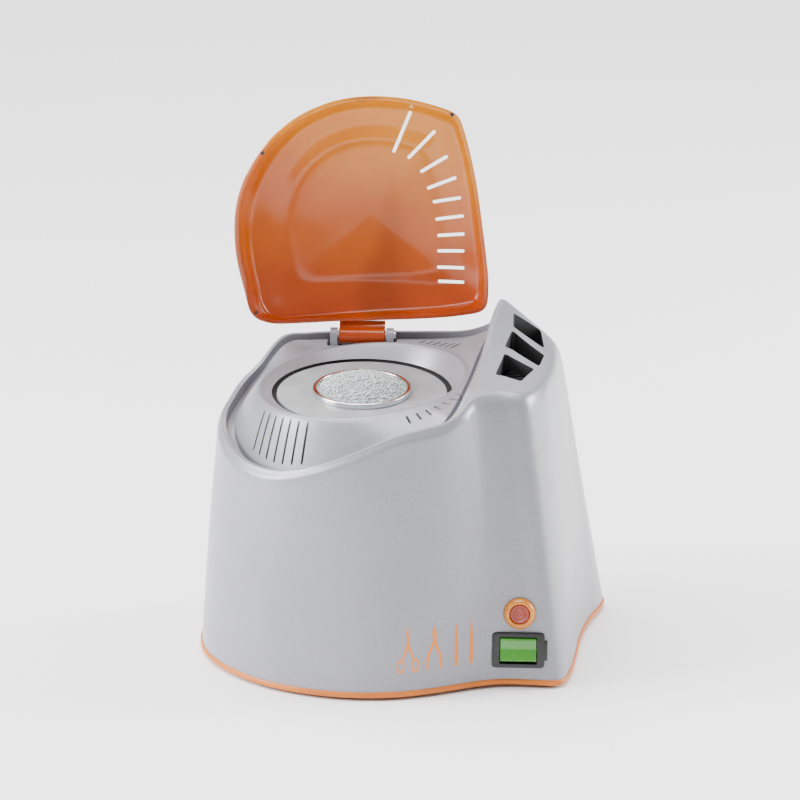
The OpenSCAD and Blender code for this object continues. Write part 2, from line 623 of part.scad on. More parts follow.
module wire_live() {
  color("saddlebrown") drum() wire([[63, 49.6, 28], [77, 47, skirt_z + 5.5], [77, 31, skirt_z + 5.5]], 1.4);
}
module wire_neutral() {
  color("royalblue") drum() wire([[49, 50.4, 28], [67, 47, skirt_z + 5.5], [67, 31, skirt_z + 5.5]], 1.4);
}
module wire_earth() {
  color("yellowgreen") drum() wire([[56, 50, 33], [75, 50, 30], [96, 40, 16], [98, 24, 9]], 1.4);
}
module heater_leads() {
  color("whitesmoke") drum() {
    wire([[59, -4, 98], [65, 0, 50], [67, 22, 15], [67, 29.5, skirt_z + 5.5]], 1.2);
    wire([[59, 5, 98], [71, 8, 56], [77, 23, 14], [77, 29.5, skirt_z + 5.5]], 1.2);
  }
}
module lamp_leads() {
  color("gray") drum() {
    wire([[83, -33, 40], [84, -20, 36], [87, 10, 20], [87, 29.5, skirt_z + 5.5]], 0.9);
    wire([[78, -33, 40], [74, -26, 34], [74, -24, 24]], 0.9);
  }
}

housing();
base_trim();
base_plate();
feet();
base_screws();
vent_screen();
lid();
lid_tongue();
lid_buffers();
hinge_pin();
hinge_bracket();
hinge_screws();
well_plate();
bead_cup();
quartz_beads();
heater_band();
heater_clamp();
insulation();
heater_can();
can_legs();
can_screws();
thermostat();
thermostat_bracket();
thermal_fuse();
switch_frame();
switch_rocker();
switch_terminals();
lamp_bezel();
lamp_lens();
lamp_nut();
inlet();
inlet_pins();
inlet_screws();
terminal_block();
terminal_screws();
earth_stud();
wire_live();
wire_neutral();
wire_earth();
heater_leads();
lamp_leads();
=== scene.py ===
"""Heated bead steriliser: the visual model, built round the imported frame."""

import logging
import math
from collections.abc import Callable, Iterable, Sequence
from dataclasses import dataclass
from enum import Enum
from functools import partial

import bmesh
import bpy
import numpy as np
from mathutils import Matrix, Vector
from mathutils.bvhtree import BVHTree


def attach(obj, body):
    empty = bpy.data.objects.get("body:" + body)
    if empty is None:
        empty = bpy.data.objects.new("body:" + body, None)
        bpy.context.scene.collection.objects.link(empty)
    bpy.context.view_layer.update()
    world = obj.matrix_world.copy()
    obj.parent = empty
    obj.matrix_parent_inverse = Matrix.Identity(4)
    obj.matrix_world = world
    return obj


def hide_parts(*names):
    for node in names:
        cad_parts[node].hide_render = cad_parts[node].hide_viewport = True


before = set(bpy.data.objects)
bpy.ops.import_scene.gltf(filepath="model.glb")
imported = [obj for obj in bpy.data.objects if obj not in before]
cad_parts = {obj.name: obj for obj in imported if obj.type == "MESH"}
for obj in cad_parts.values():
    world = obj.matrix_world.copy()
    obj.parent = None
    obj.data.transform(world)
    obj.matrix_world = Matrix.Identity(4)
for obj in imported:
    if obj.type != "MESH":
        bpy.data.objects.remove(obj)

LOG = logging.getLogger("steriliser")
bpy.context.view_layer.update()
MM = 0.001
Array = np.ndarray
Colour = tuple[float, float, float]


# ---------------------------------------------------------------- shaping


class Body(Enum):
    """The moving bodies of the frame."""

    BASE = "base"
    LID = "lid"
    ROCKER = "rocker"


@dataclass(frozen=True)
class Layout:
    """Where the sub-assemblies sit, in millimetres from the drum axis."""

    drum: tuple[float, float] = (-21.155, -2.482)
    skirt_z: float = 4.4
    base_z: float = 1.6
    wall: float = 2.6
    lip_w: float = 2.2
    channel_d: float = 3.2
    channel_w: float = 4.6
    crest_z: float = 142.0
    crest_r: float = 51.5
    floor_r: float = 45.0
    well_z: float = 134.5
    well_tilt: float = 5.0
    hinge: tuple[float, float, float] = (-3.0, 58.5, 148.0)
    open_angle: float = 100.0
    face_lean: float = 5.5

    def place(self) -> Matrix:
        """Gives the matrix from millimetres at the drum axis to metres in the row frame.

        Returns:
            The matrix.
        """
        return Matrix.Translation((self.drum[0] * MM, self.drum[1] * MM, 0.0)) @ Matrix.Scale(MM, 4)

    def well(self) -> Matrix:
        """Gives the matrix of the tilted well, whose zero is the plate at the drum axis.

        Returns:
            The matrix.
        """
        tilt = Matrix.Rotation(math.radians(self.well_tilt), 4, "X")
        return self.place() @ Matrix.Translation((0, 0, self.well_z)) @ tilt

    def opened(self) -> Matrix:
        """Gives the matrix that swings the closed lid to its open stop.

        Returns:
            The matrix.
        """
        to_hinge = Matrix.Translation(self.hinge)
        swing = Matrix.Rotation(math.radians(-self.open_angle), 4, "X")
        return self.place() @ to_hinge @ swing @ to_hinge.inverted()

    def face(self, x: float, z: float) -> Matrix:
        """Gives the matrix of a fitting on the front wall of the wing.

        Args:
            x: Sideways place in millimetres.
            z: Height in millimetres.

        Returns:
            The matrix, with x to the right, y up the wall and z out of it.
        """
        y = -56.4 + z * math.tan(math.radians(self.face_lean))
        turn = Matrix.Rotation(math.radians(90 - self.face_lean), 4, "X")
        return self.place() @ Matrix.Translation((x, y, z)) @ turn

    def inlet(self) -> Matrix:
        """Gives the matrix of the mains inlet on the rear wall, z pointing out of it.

        Returns:
            The matrix.
        """
        turn = Matrix.Rotation(math.radians(-3.6), 4, "Z")
        lay = Matrix.Rotation(math.pi, 4, "Z") @ Matrix.Rotation(math.radians(90), 4, "X")
        return self.place() @ Matrix.Translation((56, 79.1, 30)) @ turn @ lay


LAYOUT = Layout()
LENGTHWISE = Matrix(((0, 0, 1, 0), (1, 0, 0, 0), (0, 1, 0, 0), (0, 0, 0, 1)))
"""Turns a profile's x, y and z into y, z and x."""

STATIONS: tuple[tuple[float, ...], ...] = (
    (-45, 60, 146.5, 145, -46, 61, 145, -48, 63, 139, -56, 66),
    (-56, 52.5, 134.5, 134, -57, 53.5, 133, -59, 55, 127, -69, 54),
    (-64, 40, 128.5, 126.5, -65, 40.5, 127, -67, 41.5, 121, -77, 40),
    (-68.5, 20, 124.5, 122.5, -69.5, 20, 123, -71, 20.5, 117, -81, 20),
    (-70.5, 3, 122, 120, -71.5, 3, 120.5, -73, 3, 114, -82, 1),
    (-69, -12, 117.5, 115.5, -70, -12.5, 116, -71.5, -13, 110, -79.5, -17),
    (-63.5, -27, 113, 111, -64.5, -27.5, 111.5, -66.5, -28.5, 106, -73.5, -32),
    (-55.5, -40.5, 110.5, 108.5, -56.5, -41, 109, -58, -42.5, 103, -64, -46),
    (-45, -51.5, 110, 108, -45.5, -52.5, 108.5, -47, -54, 103, -51.5, -58.5),
    (-33, -60, 111.8, 109.8, -33.5, -61, 110.5, -34.5, -62.5, 105, -38, -67.5),
    (-17, -66.3, 117, 115, -17, -67.3, 115.5, -17.5, -69, 110, -20, -74.5),
    (0, -68.8, 124, 122, 0, -69.8, 122.5, 0, -71.5, 117, 0, -77.7),
    (18, -67.8, 131.5, 129, 18, -68.8, 130, 18.5, -70, 125, 20, -76),
    (32, -64.8, 134.8, 132, 32.5, -65.8, 133.3, 33, -67, 128, 36, -70.7),
    (43, -61, 137, 134, 43.5, -62, 135.5, 45, -62.6, 130, 50, -64.2),
    (48.5, -56.8, 139.8, 136.5, 51, -56.5, 139.5, 54.5, -54.5, 134, 61.5, -58.7),
    (51.8, -49.6, 143, 138.5, 57, -44.5, 146, 59, -47.5, 140, 73, -55.6),
    (54.8, -39, 147.2, 141, 69, -38, 147, 70.5, -42.8, 140.5, 87, -55.8),
    (56.8, -30, 149.3, 143, 80.5, -36, 146.4, 82.8, -40.6, 140, 100.5, -55.5),
    (59.2, -17, 152, 145, 87.5, -22, 147.2, 91, -25, 140.5, 105.5, -42),
    (61.8, 1, 155.6, 147, 91.5, -4, 148, 95, -5, 140.5, 108.6, -19),
    (64, 17.4, 161, 149, 94.2, 15, 149, 98, 15, 141, 111, 6),
    (66.5, 34, 166.5, 151, 95, 36, 150, 99.5, 37, 141, 116, 33),
    (69, 48, 169.5, 152.5, 93, 53, 151, 99.5, 56, 141, 123, 56.5),
    (70, 58, 168, 152.5, 85.5, 64, 153, 92, 68, 142, 122, 69.5),
    (66, 66, 156, 151, 68, 69, 152.5, 74, 73, 143, 100, 76),
    (52, 70, 148.8, 147, 52.5, 71.2, 147.4, 54, 74, 140, 72, 79),
    (32, 72, 147.4, 145, 32, 73.2, 146, 33, 76, 139, 40, 81),
    (8, 72.5, 147, 144.5, 8, 73.7, 145.6, 8.5, 76.5, 139, 10, 82),
    (-15, 71, 147, 144.5, -15, 72.2, 145.6, -15.5, 75, 139, -18, 80),
    (-32, 67, 147, 145, -32.5, 68.2, 145.6, -33.5, 70.5, 139, -39, 75),
)
"""Control stations of the housing, anticlockwise from the rear left, in millimetres.

Each row holds the lip point, the deck height, the upper edge, the shoulder and the foot.
"""

LID_POINTS: tuple[tuple[float, ...], ...] = (
    (-50, 52.5, 144, 152.5),
    (-59, 47, 133, 150),
    (-62.5, 34, 126.8, 149),
    (-66, 18.5, 122.8, 148.5),
    (-67.2, 3, 120.2, 148.5),
    (-65.6, -11.5, 115.8, 148),
    (-60.6, -25.5, 111.4, 147),
    (-53, -38, 108.8, 146),
    (-43.3, -48.5, 108.2, 145.5),
    (-32, -56.7, 110, 145.5),
    (-16.6, -63, 115.2, 146),
    (0, -65.4, 122.2, 147),
    (17.5, -64.5, 129.2, 148.5),
    (31, -61.6, 132.4, 149.5),
    (41, -58.4, 134.4, 150.5),
    (45.8, -55, 137, 151.5),
    (48.6, -48.4, 139, 152.5),
    (51.5, -38, 141.4, 154),
    (53.6, -29, 143.2, 155.5),
    (56, -16.5, 145.2, 157.5),
    (58.6, 1.3, 147.3, 160.5),
    (60.8, 17.8, 149.4, 163.5),
    (62, 32, 151.4, 166),
    (60, 44.5, 153, 167),
    (47, 48, 152.6, 165.5),
    (30, 49.5, 150.6, 163),
    (8, 50.4, 148.6, 160.5),
    (-15, 51.2, 147.2, 157.5),
    (-34, 52.3, 145.8, 155),
)
"""Control points of the lid rim when closed: place, rim height and top height."""

WINDOWS: tuple[tuple[tuple[float, float], ...], ...] = (
    ((75, 32), (91, 26), (89, 51), (75, 45.5)),
    ((71, 10), (74.7, 9.7), (88.4, 0.5), (91, 17), (74.6, 28)),
    ((66.7, -20.6), (70.6, -20.7), (79.5, -23.6), (86, -4.7), (71, 4.3)),
)
"""Plan corners of the three vent windows."""

LID_SLOTS: tuple[tuple[float, ...], ...] = (
    (12, -36, 21, -57.5), (19.5, -33, 33.5, -47.5), (26, -26, 40, -34.5),
    (29.5, -17.5, 44.5, -23.5), (32.5, -10.5, 47, -13), (34, -1.5, 48.5, -3.5),
    (35, 7, 49, 6), (35, 15, 49, 15), (35, 23.5, 49, 24), (35.5, 31, 49, 31.5),
)
"""Inner and outer ends of the slots through the lid, closed."""


def closed_spline(points: Iterable[Sequence[float]], sub: int) -> Array:
    """Runs a smooth closed curve through points.

    Args:
        points: Control points.
        sub: Number of points made from each span.

    Returns:
        An array of points along the curve.
    """
    p = np.array(list(points), float)
    a, b, c, d = (np.roll(p, k, axis=0) for k in (1, 0, -1, -2))
    out = []
    for k in range(sub):
        t = k / sub
        out.append(0.5 * (2 * b + (c - a) * t + (2 * a - 5 * b + 4 * c - d) * t**2
                          + (3 * b - a - 3 * c + d) * t**3))
    return np.stack(out, axis=1).reshape(-1, p.shape[1])


def inward(ring: Array, distance: float, dz: float = 0.0) -> Array:
    """Moves a ring towards its inside, in plan, and up by dz.

    Args:
        ring: Ring of points.
        distance: How far, in millimetres.
        dz: Step upwards in millimetres.

    Returns:
        The new ring.
    """
    step = np.roll(ring, -1, axis=0) - np.roll(ring, 1, axis=0)
    length = np.hypot(step[:, 0], step[:, 1])
    out = ring.copy()
    out[:, 0] -= step[:, 1] / length * distance
    out[:, 1] += step[:, 0] / length * distance
    out[:, 2] += dz
    return out


def between(a: Array, b: Array, t: float, out: float = 0.0, dz: float = 0.0) -> Array:
    """Mixes two rings, then pushes the result outwards by out and up by dz.

    Args:
        a: First ring.
        b: Second ring.
        t: Share of the second ring.
        out: Push outwards in millimetres.
        dz: Step upwards in millimetres.

    Returns:
        The new ring.
    """
    return inward(a * (1 - t) + b * t, -out, dz)


def at_height(ring: Array, z: float) -> Array:
    """Copies a ring with every point at height z.

    Args:
        ring: Ring of points.
        z: Height in millimetres.

    Returns:
        The new ring.
    """
    flat = ring.copy()
    flat[:, 2] = z
    return flat


class Mesher:
    """Turns arrays and bmesh shapes into finished objects."""

    @staticmethod
    def link(mesh: bpy.types.Mesh, name: str) -> bpy.types.Object:
        """Puts a mesh in the scene as an object at the origin.

        Args:
            mesh: Mesh to place.
            name: Name of the object.

        Returns:
            The object.
        """
        obj = bpy.data.objects.new(name, mesh)
        bpy.context.scene.collection.objects.link(obj)
        return obj

    @classmethod
    def loft(cls, name: str, rings: Sequence[Array], matrix: Matrix, caps: bool = False,
             wrap: bool = True) -> bpy.types.Object:
        """Skins a run of closed rings.

        Args:
            name: Name of the object.
            rings: Rings of equal length, the outside first.
            matrix: Matrix from the rings to metres in the row frame.
            caps: True to close the first and the last ring with a point.
            wrap: True to join the last ring to the first one.

        Returns:
            The new object.
        """
        m, n = len(rings), len(rings[0])
        points = [tuple(p) for ring in rings for p in ring]
        faces: list[tuple[int, ...]] = []
        for j in range(m if wrap else m - 1):
            k = (j + 1) % m
            for i in range(n):
                i2 = (i + 1) % n
                faces.append((j * n + i, j * n + i2, k * n + i2, k * n + i))
        if caps:
            for j, flip in ((0, True), (m - 1, False)):
                centre = len(points)
                points.append(tuple(np.mean(rings[j], axis=0)))
                for i in range(n):
                    tri = (j * n + i, j * n + (i + 1) % n, centre)
                    faces.append(tri[::-1] if flip else tri)
        mesh = bpy.data.meshes.new(name)
        mesh.from_pydata(points, [], faces)
        mesh.transform(matrix)
        mesh.update()
        return cls.link(mesh, name)

    @classmethod
    def shape(cls, name: str, matrix: Matrix,
              build: Callable[[bmesh.types.BMesh], None]) -> bpy.types.Object:
        """Makes an object from a function that fills a bmesh in millimetres.

        Args:
            name: Name of the object.
            matrix: Matrix from millimetres to the row frame.
            build: Function that fills the bmesh.

        Returns:
            The object.
        """
        bm = bmesh.new()
        build(bm)
        bmesh.ops.recalc_face_normals(bm, faces=bm.faces)
        mesh = bpy.data.meshes.new(name)
        bm.to_mesh(mesh)
        bm.free()
        mesh.transform(matrix)
        mesh.update()
        return cls.link(mesh, name)

    @staticmethod
    def box(bm: bmesh.types.BMesh, low: Sequence[float], high: Sequence[float]) -> None:
        """Adds a box between two corners.

        Args:
            bm: Mesh that takes the shape.
            low: Lowest corner.
            high: Highest corner.
        """
        size = [b - a for a, b in zip(low, high)]
        mid = [(a + b) / 2 for a, b in zip(low, high)]
        bmesh.ops.create_cube(bm, size=1, matrix=Matrix.Translation(mid) @ Matrix.Diagonal((*size, 1)))

    @staticmethod
    def rod(bm: bmesh.types.BMesh, radius: float, start: float, end: float, matrix: Matrix | None = None,
            sides: int = 48) -> None:
        """Adds a closed rod along the z axis of a matrix.

        Args:
            bm: Mesh that takes the shape.
            radius: Radius in millimetres.
            start: Start along the axis.
            end: End along the axis.
            matrix: Matrix whose z axis the rod follows.
            sides: Number of sides.
        """
        local = Matrix.Translation((0, 0, (start + end) / 2))
        bmesh.ops.create_cone(bm, cap_ends=True, segments=sides, radius1=radius, radius2=radius,
                              depth=end - start, matrix=(matrix or Matrix()) @ local)

    @staticmethod
    def prism(bm: bmesh.types.BMesh, outline: Sequence[Sequence[float]], low: float, high: float,
              matrix: Matrix | None = None) -> None:
        """Adds a prism from a plan outline.

        Args:
            bm: Mesh that takes the shape.
            outline: Plan corners.
            low: Lower height.
            high: Upper height.
            matrix: Matrix of the outline.
        """
        mat = matrix or Matrix()
        rows = [[bm.verts.new(mat @ Vector((p[0], p[1], z))) for p in outline] for z in (low, high)]
        bm.faces.new(rows[0][::-1])
        bm.faces.new(rows[1])
        n = len(outline)
        for i in range(n):
            j = (i + 1) % n
            bm.faces.new((rows[0][i], rows[0][j], rows[1][j], rows[1][i]))

    @classmethod
    def slab(cls, name: str, matrix: Matrix, outline: Sequence[Sequence[float]], low: float, high: float,
             turned: Matrix | None = None) -> bpy.types.Object:
        """Makes a prism as an object of its own.

        Args:
            name: Name of the object.
            matrix: Matrix from millimetres to the row frame.
            outline: Plan corners.
            low: Lower height.
            high: Upper height.
            turned: Turn inside the first matrix.

        Returns:
            The object.
        """
        build = partial(cls.prism, outline=outline, low=low, high=high, matrix=turned)
        return cls.shape(name, matrix, build)

    @classmethod
    def bar(cls, name: str, matrix: Matrix, radius: float, start: float, end: float,
            turned: Matrix | None = None, sides: int = 48) -> bpy.types.Object:
        """Makes a closed rod as an object of its own.

        Args:
            name: Name of the object.
            matrix: Matrix from millimetres to the row frame.
            radius: Radius in millimetres.
            start: Start along the axis.
            end: End along the axis.
            turned: Turn inside the first matrix.
            sides: Number of sides.

        Returns:
            The object.
        """
        build = partial(cls.rod, radius=radius, start=start, end=end, matrix=turned, sides=sides)
        return cls.shape(name, matrix, build)

    @classmethod
    def block(cls, name: str, matrix: Matrix, low: Sequence[float],
              high: Sequence[float]) -> bpy.types.Object:
        """Makes a box as an object of its own.

        Args:
            name: Name of the object.
            matrix: Matrix from millimetres to the row frame.
            low: Lowest corner.
            high: Highest corner.

        Returns:
            The object.
        """
        return cls.shape(name, matrix, partial(cls.box, low=low, high=high))

    @classmethod
    def lathe(cls, name: str, profile: Sequence[Sequence[float]], matrix: Matrix,
              sides: int = 96) -> bpy.types.Object:
        """Turns a profile of radius and height about the z axis of a matrix.

        Args:
            name: Name of the object.
            profile: Points going up the outside; a closed loop or ends on the axis.
            matrix: Matrix from millimetres to the row frame.
            sides: Number of steps round.

        Returns:
            The new object.
        """
        def build(bm: bmesh.types.BMesh) -> None:
            """Fills the mesh with the turned profile.

            Args:
                bm: Mesh that takes the shape.
            """
            on_axis = profile[0][0] < 1e-6
            rows: list[list[bmesh.types.BMVert]] = []
            for r, z in profile:
                if r < 1e-6:
                    rows.append([bm.verts.new((0, 0, z))] * sides)
                else:
                    rows.append([bm.verts.new((r * math.cos(math.tau * i / sides),
                                               r * math.sin(math.tau * i / sides), z))
                                 for i in range(sides)])
            pairs = list(zip(rows, rows[1:])) + ([] if on_axis else [(rows[-1], rows[0])])
            for low, high in pairs:
                for i in range(sides):
                    j = (i + 1) % sides
                    corners = list(dict.fromkeys((low[i], low[j], high[j], high[i])))
                    if len(corners) > 2:
                        bm.faces.new(corners)
        return cls.shape(name, matrix, build)

    @staticmethod
    def modify(obj: bpy.types.Object, kind: str, **settings: object) -> bpy.types.Modifier:
        """Adds a modifier with its settings.

        Args:
            obj: Object to change.
            kind: Type of the modifier.
            settings: Settings by name.

        Returns:
            The modifier.
        """
        mod = obj.modifiers.new(kind.title(), kind)
        for key, value in settings.items():
            setattr(mod, key, value)
        return mod

    @classmethod
    def round_edges(cls, obj: bpy.types.Object, width: float, segments: int = 2,
                    angle: float = 35.0) -> None:
        """Adds a bevel of a width in millimetres to the sharp edges.

        Args:
            obj: Object to change.
            width: Width in millimetres.
            segments: Steps across the bevel.
            angle: Least angle of a sharp edge, in degrees.
        """
        cls.modify(obj, "BEVEL", width=width * MM, segments=segments, limit_method="ANGLE",
                   angle_limit=math.radians(angle), harden_normals=False)

    @staticmethod
    def freeze(obj: bpy.types.Object) -> bpy.types.Object:
        """Applies every modifier of an object.

        Args:
            obj: Object to change.

        Returns:
            The object.
        """
        graph = bpy.context.evaluated_depsgraph_get()
        mesh = bpy.data.meshes.new_from_object(obj.evaluated_get(graph), depsgraph=graph)
        obj.modifiers.clear()
        old = obj.data
        obj.data = mesh
        bpy.data.meshes.remove(old)
        return obj

    @classmethod
    def cut(cls, obj: bpy.types.Object, cutters: Sequence[bpy.types.Object]) -> bpy.types.Object:
        """Cuts the cutters out of an object and removes them.

        Args:
            obj: Object to change.
            cutters: Solids to take away.

        Returns:
            The object.
        """
        for tool in cutters:
            cls.modify(obj, "BOOLEAN", operation="DIFFERENCE", solver="EXACT", material_mode="TRANSFER",
                       object=tool)
        cls.freeze(obj)
        for tool in cutters:
            bpy.data.objects.remove(tool)
        return obj

    @classmethod
    def join(cls, obj: bpy.types.Object, other: bpy.types.Object) -> bpy.types.Object:
        """Unites another solid with an object and removes it.

        Args:
            obj: Object to change.
            other: Solid to add.

        Returns:
            The object.
        """
        cls.modify(obj, "BOOLEAN", operation="UNION", solver="EXACT", object=other)
        cls.freeze(obj)
        bpy.data.objects.remove(other)
        return obj

    @staticmethod
    def smooth(obj: bpy.types.Object, angle: float = 40.0) -> None:
        """Shades an object smooth, with sharp edges over an angle.

        Args:
            obj: Object to change.
            angle: Least angle of a sharp edge, in degrees.
        """
        mesh = obj.data
        mesh.polygons.foreach_set("use_smooth", [True] * len(mesh.polygons))
        bm = bmesh.new()
        bm.from_mesh(mesh)
        limit = math.radians(angle)
        for edge in bm.edges:
            edge.smooth = len(edge.link_faces) == 2 and edge.calc_face_angle(0.0) < limit
        bm.to_mesh(mesh)
        bm.free()


# ---------------------------------------------------------------- shaders


class Val:
    """A number from a shader socket that takes part in Python arithmetic."""

    def __init__(self, tree: bpy.types.NodeTree, socket: bpy.types.NodeSocket) -> None:
        """Wraps a socket of a tree.

        Args:
            tree: Node tree.
            socket: Output that holds the number.
        """
        self.tree = tree
        self.socket = socket

    def math(self, operation: str, *others: object, first: bool = True, clamp: bool = False) -> "Val":
        """Adds a Math node.

        Args:
            operation: Operation of the Math node.
            others: The other values, numbers or Val.
            first: True where this value is the first input.
            clamp: True to keep the result between 0 and 1.

        Returns:
            The result.
        """
        node = self.tree.nodes.new("ShaderNodeMath")
        node.operation = operation
        node.use_clamp = clamp
        values = [self, *others] if first else [*others, self]
        for i, value in enumerate(values):
            if isinstance(value, Val):
                self.tree.links.new(value.socket, node.inputs[i])
            else:
                node.inputs[i].default_value = float(value)
        return Val(self.tree, node.outputs[0])

    def __add__(self, other: object) -> "Val":
        """Adds.

        Args:
            other: Number or Val.

        Returns:
            The result.
        """
        return self.math("ADD", other)

    __radd__ = __add__

    def __mul__(self, other: object) -> "Val":
        """Multiplies.

        Args:
            other: Number or Val.

        Returns:
            The result.
        """
        return self.math("MULTIPLY", other)

    __rmul__ = __mul__

    def __sub__(self, other: object) -> "Val":
        """Subtracts a value from this one.

        Args:
            other: Number or Val.

        Returns:
            The result.
        """
        return self.math("SUBTRACT", other)

    def __rsub__(self, other: object) -> "Val":
        """Subtracts this value from another.

        Args:
            other: Number or Val.

        Returns:
            The result.
        """
        return self.math("SUBTRACT", other, first=False)

    def __truediv__(self, other: object) -> "Val":
        """Divides by a value.

        Args:
            other: Number or Val.

        Returns:
            The result.
        """
        return self.math("DIVIDE", other)

    def __pow__(self, other: object) -> "Val":
        """Raises to a power.

        Args:
            other: Number or Val.

        Returns:
            The result.
        """
        return self.math("POWER", other)

    def clamped(self) -> "Val":
        """Keeps the value between 0 and 1.

        Returns:
            The result.
        """
        return self.math("ADD", 0.0, clamp=True)

    def step(self, low: float, high: float) -> "Val":
        """Turns the range from low to high into a smooth 0 to 1.

        Args:
            low: Value that gives 0.
            high: Value that gives 1.

        Returns:
            The result.
        """
        t = ((self - low) / (high - low)).clamped()
        return t * t * (3 - 2 * t)


class Shader:
    """A material and the nodes that drive it."""

    def __init__(self, name: str) -> None:
        """Starts a material with one Principled shader.

        Args:
            name: Name of the material.
        """
        self.material = bpy.data.materials.new(name)
        self.material.use_nodes = True
        self.tree = self.material.node_tree
        self.tree.nodes.clear()
        self.output = self.node("ShaderNodeOutputMaterial")
        self.body = self.node("ShaderNodeBsdfPrincipled")
        self.tree.links.new(self.body.outputs[0], self.output.inputs["Surface"])

    def node(self, kind: str, settings: dict[str, object] | None = None,
             values: dict[str | int, object] | None = None) -> bpy.types.Node:
        """Adds a node: settings first, then the values or links of its inputs.

        Args:
            kind: Type of the node.
            settings: Attributes by name.
            values: Input values or links.

        Returns:
            The node.
        """
        node = self.tree.nodes.new(kind)
        for key, value in (settings or {}).items():
            if key == "stops":
                for i, (place, colour) in enumerate(value):
                    stops = node.color_ramp.elements
                    stop = stops[i] if i < 2 else stops.new(place)
                    stop.position = place
                    stop.color = (*colour, 1.0)
            else:
                setattr(node, key, value)
        for key, value in (values or {}).items():
            self.feed(node.inputs[key], value)
        return node

    def feed(self, socket: bpy.types.NodeSocket, value: object) -> None:
        """Sets or links an input socket.

        Args:
            socket: Input to fill.
            value: Constant, Val or socket.
        """
        if isinstance(value, Val):
            self.tree.links.new(value.socket, socket)
        elif isinstance(value, bpy.types.NodeSocket):
            self.tree.links.new(value, socket)
        elif isinstance(value, tuple) and socket.type == "RGBA":
            socket.default_value = (*value, 1.0)
        else:
            socket.default_value = value

    def coordinates(self, origin: Sequence[float] = (0, 0, 0), turn: Sequence[float] = (0, 0, 0),
                    scale: Sequence[float] = (1, 1, 1)) -> bpy.types.NodeSocket:
        """Gives object coordinates about an origin in metres, turned and scaled.

        Args:
            origin: Zero point in metres.
            turn: Turn in radians.
            scale: Scale along each axis.

        Returns:
            The output socket.
        """
        place = self.node("ShaderNodeTexCoord").outputs["Object"]
        moved = self.node("ShaderNodeVectorMath", {"operation": "SUBTRACT"}, {0: place, 1: tuple(origin)})
        mapped = self.node("ShaderNodeMapping", {}, {"Vector": moved.outputs[0], "Rotation": tuple(turn),
                                                     "Scale": tuple(scale)})
        return mapped.outputs[0]

    def axes(self, vector: bpy.types.NodeSocket) -> tuple[Val, Val, Val]:
        """Splits a vector into its three numbers.

        Args:
            vector: Vector to read.

        Returns:
            The x, y and z values.
        """
        split = self.node("ShaderNodeSeparateXYZ", {}, {0: vector})
        return tuple(Val(self.tree, out) for out in split.outputs)

    def noise(self, vector: bpy.types.NodeSocket, scale: float, detail: float = 2.0,
              rough: float = 0.5) -> Val:
        """Gives a noise value about 0.5.

        Args:
            vector: Vector to read.
            scale: Scale of the pattern.
            detail: Detail of the noise.
            rough: Roughness of the noise.

        Returns:
            The result.
        """
        node = self.node("ShaderNodeTexNoise", {"noise_dimensions": "3D"},
                         {"Vector": vector, "Scale": scale, "Detail": detail, "Roughness": rough})
        return Val(self.tree, node.outputs[0])

    def colour(self, factor: object, a: object, b: object, blend: str = "MIX") -> bpy.types.NodeSocket:
        """Mixes two colours by a factor.

        Args:
            factor: Share of the second colour.
            a: Colour at 0.
            b: Colour at 1.
            blend: Blend type.

        Returns:
            The output socket.
        """
        node = self.node("ShaderNodeMix", {"data_type": "RGBA", "blend_type": blend})
        self.feed(node.inputs[0], factor)
        self.feed(node.inputs[6], a)
        self.feed(node.inputs[7], b)
        return node.outputs[2]

    def bump(self, height: Val, strength: float, distance: float) -> bpy.types.NodeSocket:
        """Turns a height into a normal; distance is in metres.

        Args:
            height: Height value.
            strength: Strength of the bump.
            distance: Depth in metres.

        Returns:
            The output socket.
        """
        node = self.node("ShaderNodeBump", {},
                         {"Height": height, "Strength": strength, "Distance": distance})
        return node.outputs[0]

    def set(self, **values: object) -> bpy.types.Material:
        """Sets inputs of the shader by name, with underscores for spaces.

        Args:
            values: Inputs and their values.

        Returns:
            The material.
        """
        for key, value in values.items():
            self.feed(self.body.inputs[key.replace("_", " ")], value)
        return self.material


@dataclass(frozen=True)
class MouldedShell:
    """Satin moulded plastic with a faint metallic fleck."""

    name: str = "silver_shell"
    tone: Colour = (0.245, 0.245, 0.275)
    shade: Colour = (0.225, 0.225, 0.255)
    rough: float = 0.36

    def build(self) -> bpy.types.Material:
        """Makes the material.

        Returns:
            The material.
        """
        s = Shader(self.name)
        p = s.coordinates()
        cloud = s.noise(p, 14.0, 3.0)
        fleck = s.noise(p, 2600.0, 1.0)
        grain = s.noise(p, 1400.0, 2.0)
        base = s.colour(cloud.step(0.35, 0.65), self.tone, self.shade)
        lit = s.colour(fleck.step(0.62, 0.72) * 0.25, base, (0.75, 0.75, 0.78))
        return s.set(Base_Color=lit, Metallic=0.25, Roughness=self.rough + (cloud - 0.5) * 0.08,
                     Normal=s.bump(grain + fleck * 0.4, 0.12, 0.00008), Coat_Weight=0.18,
                     Coat_Roughness=0.22)


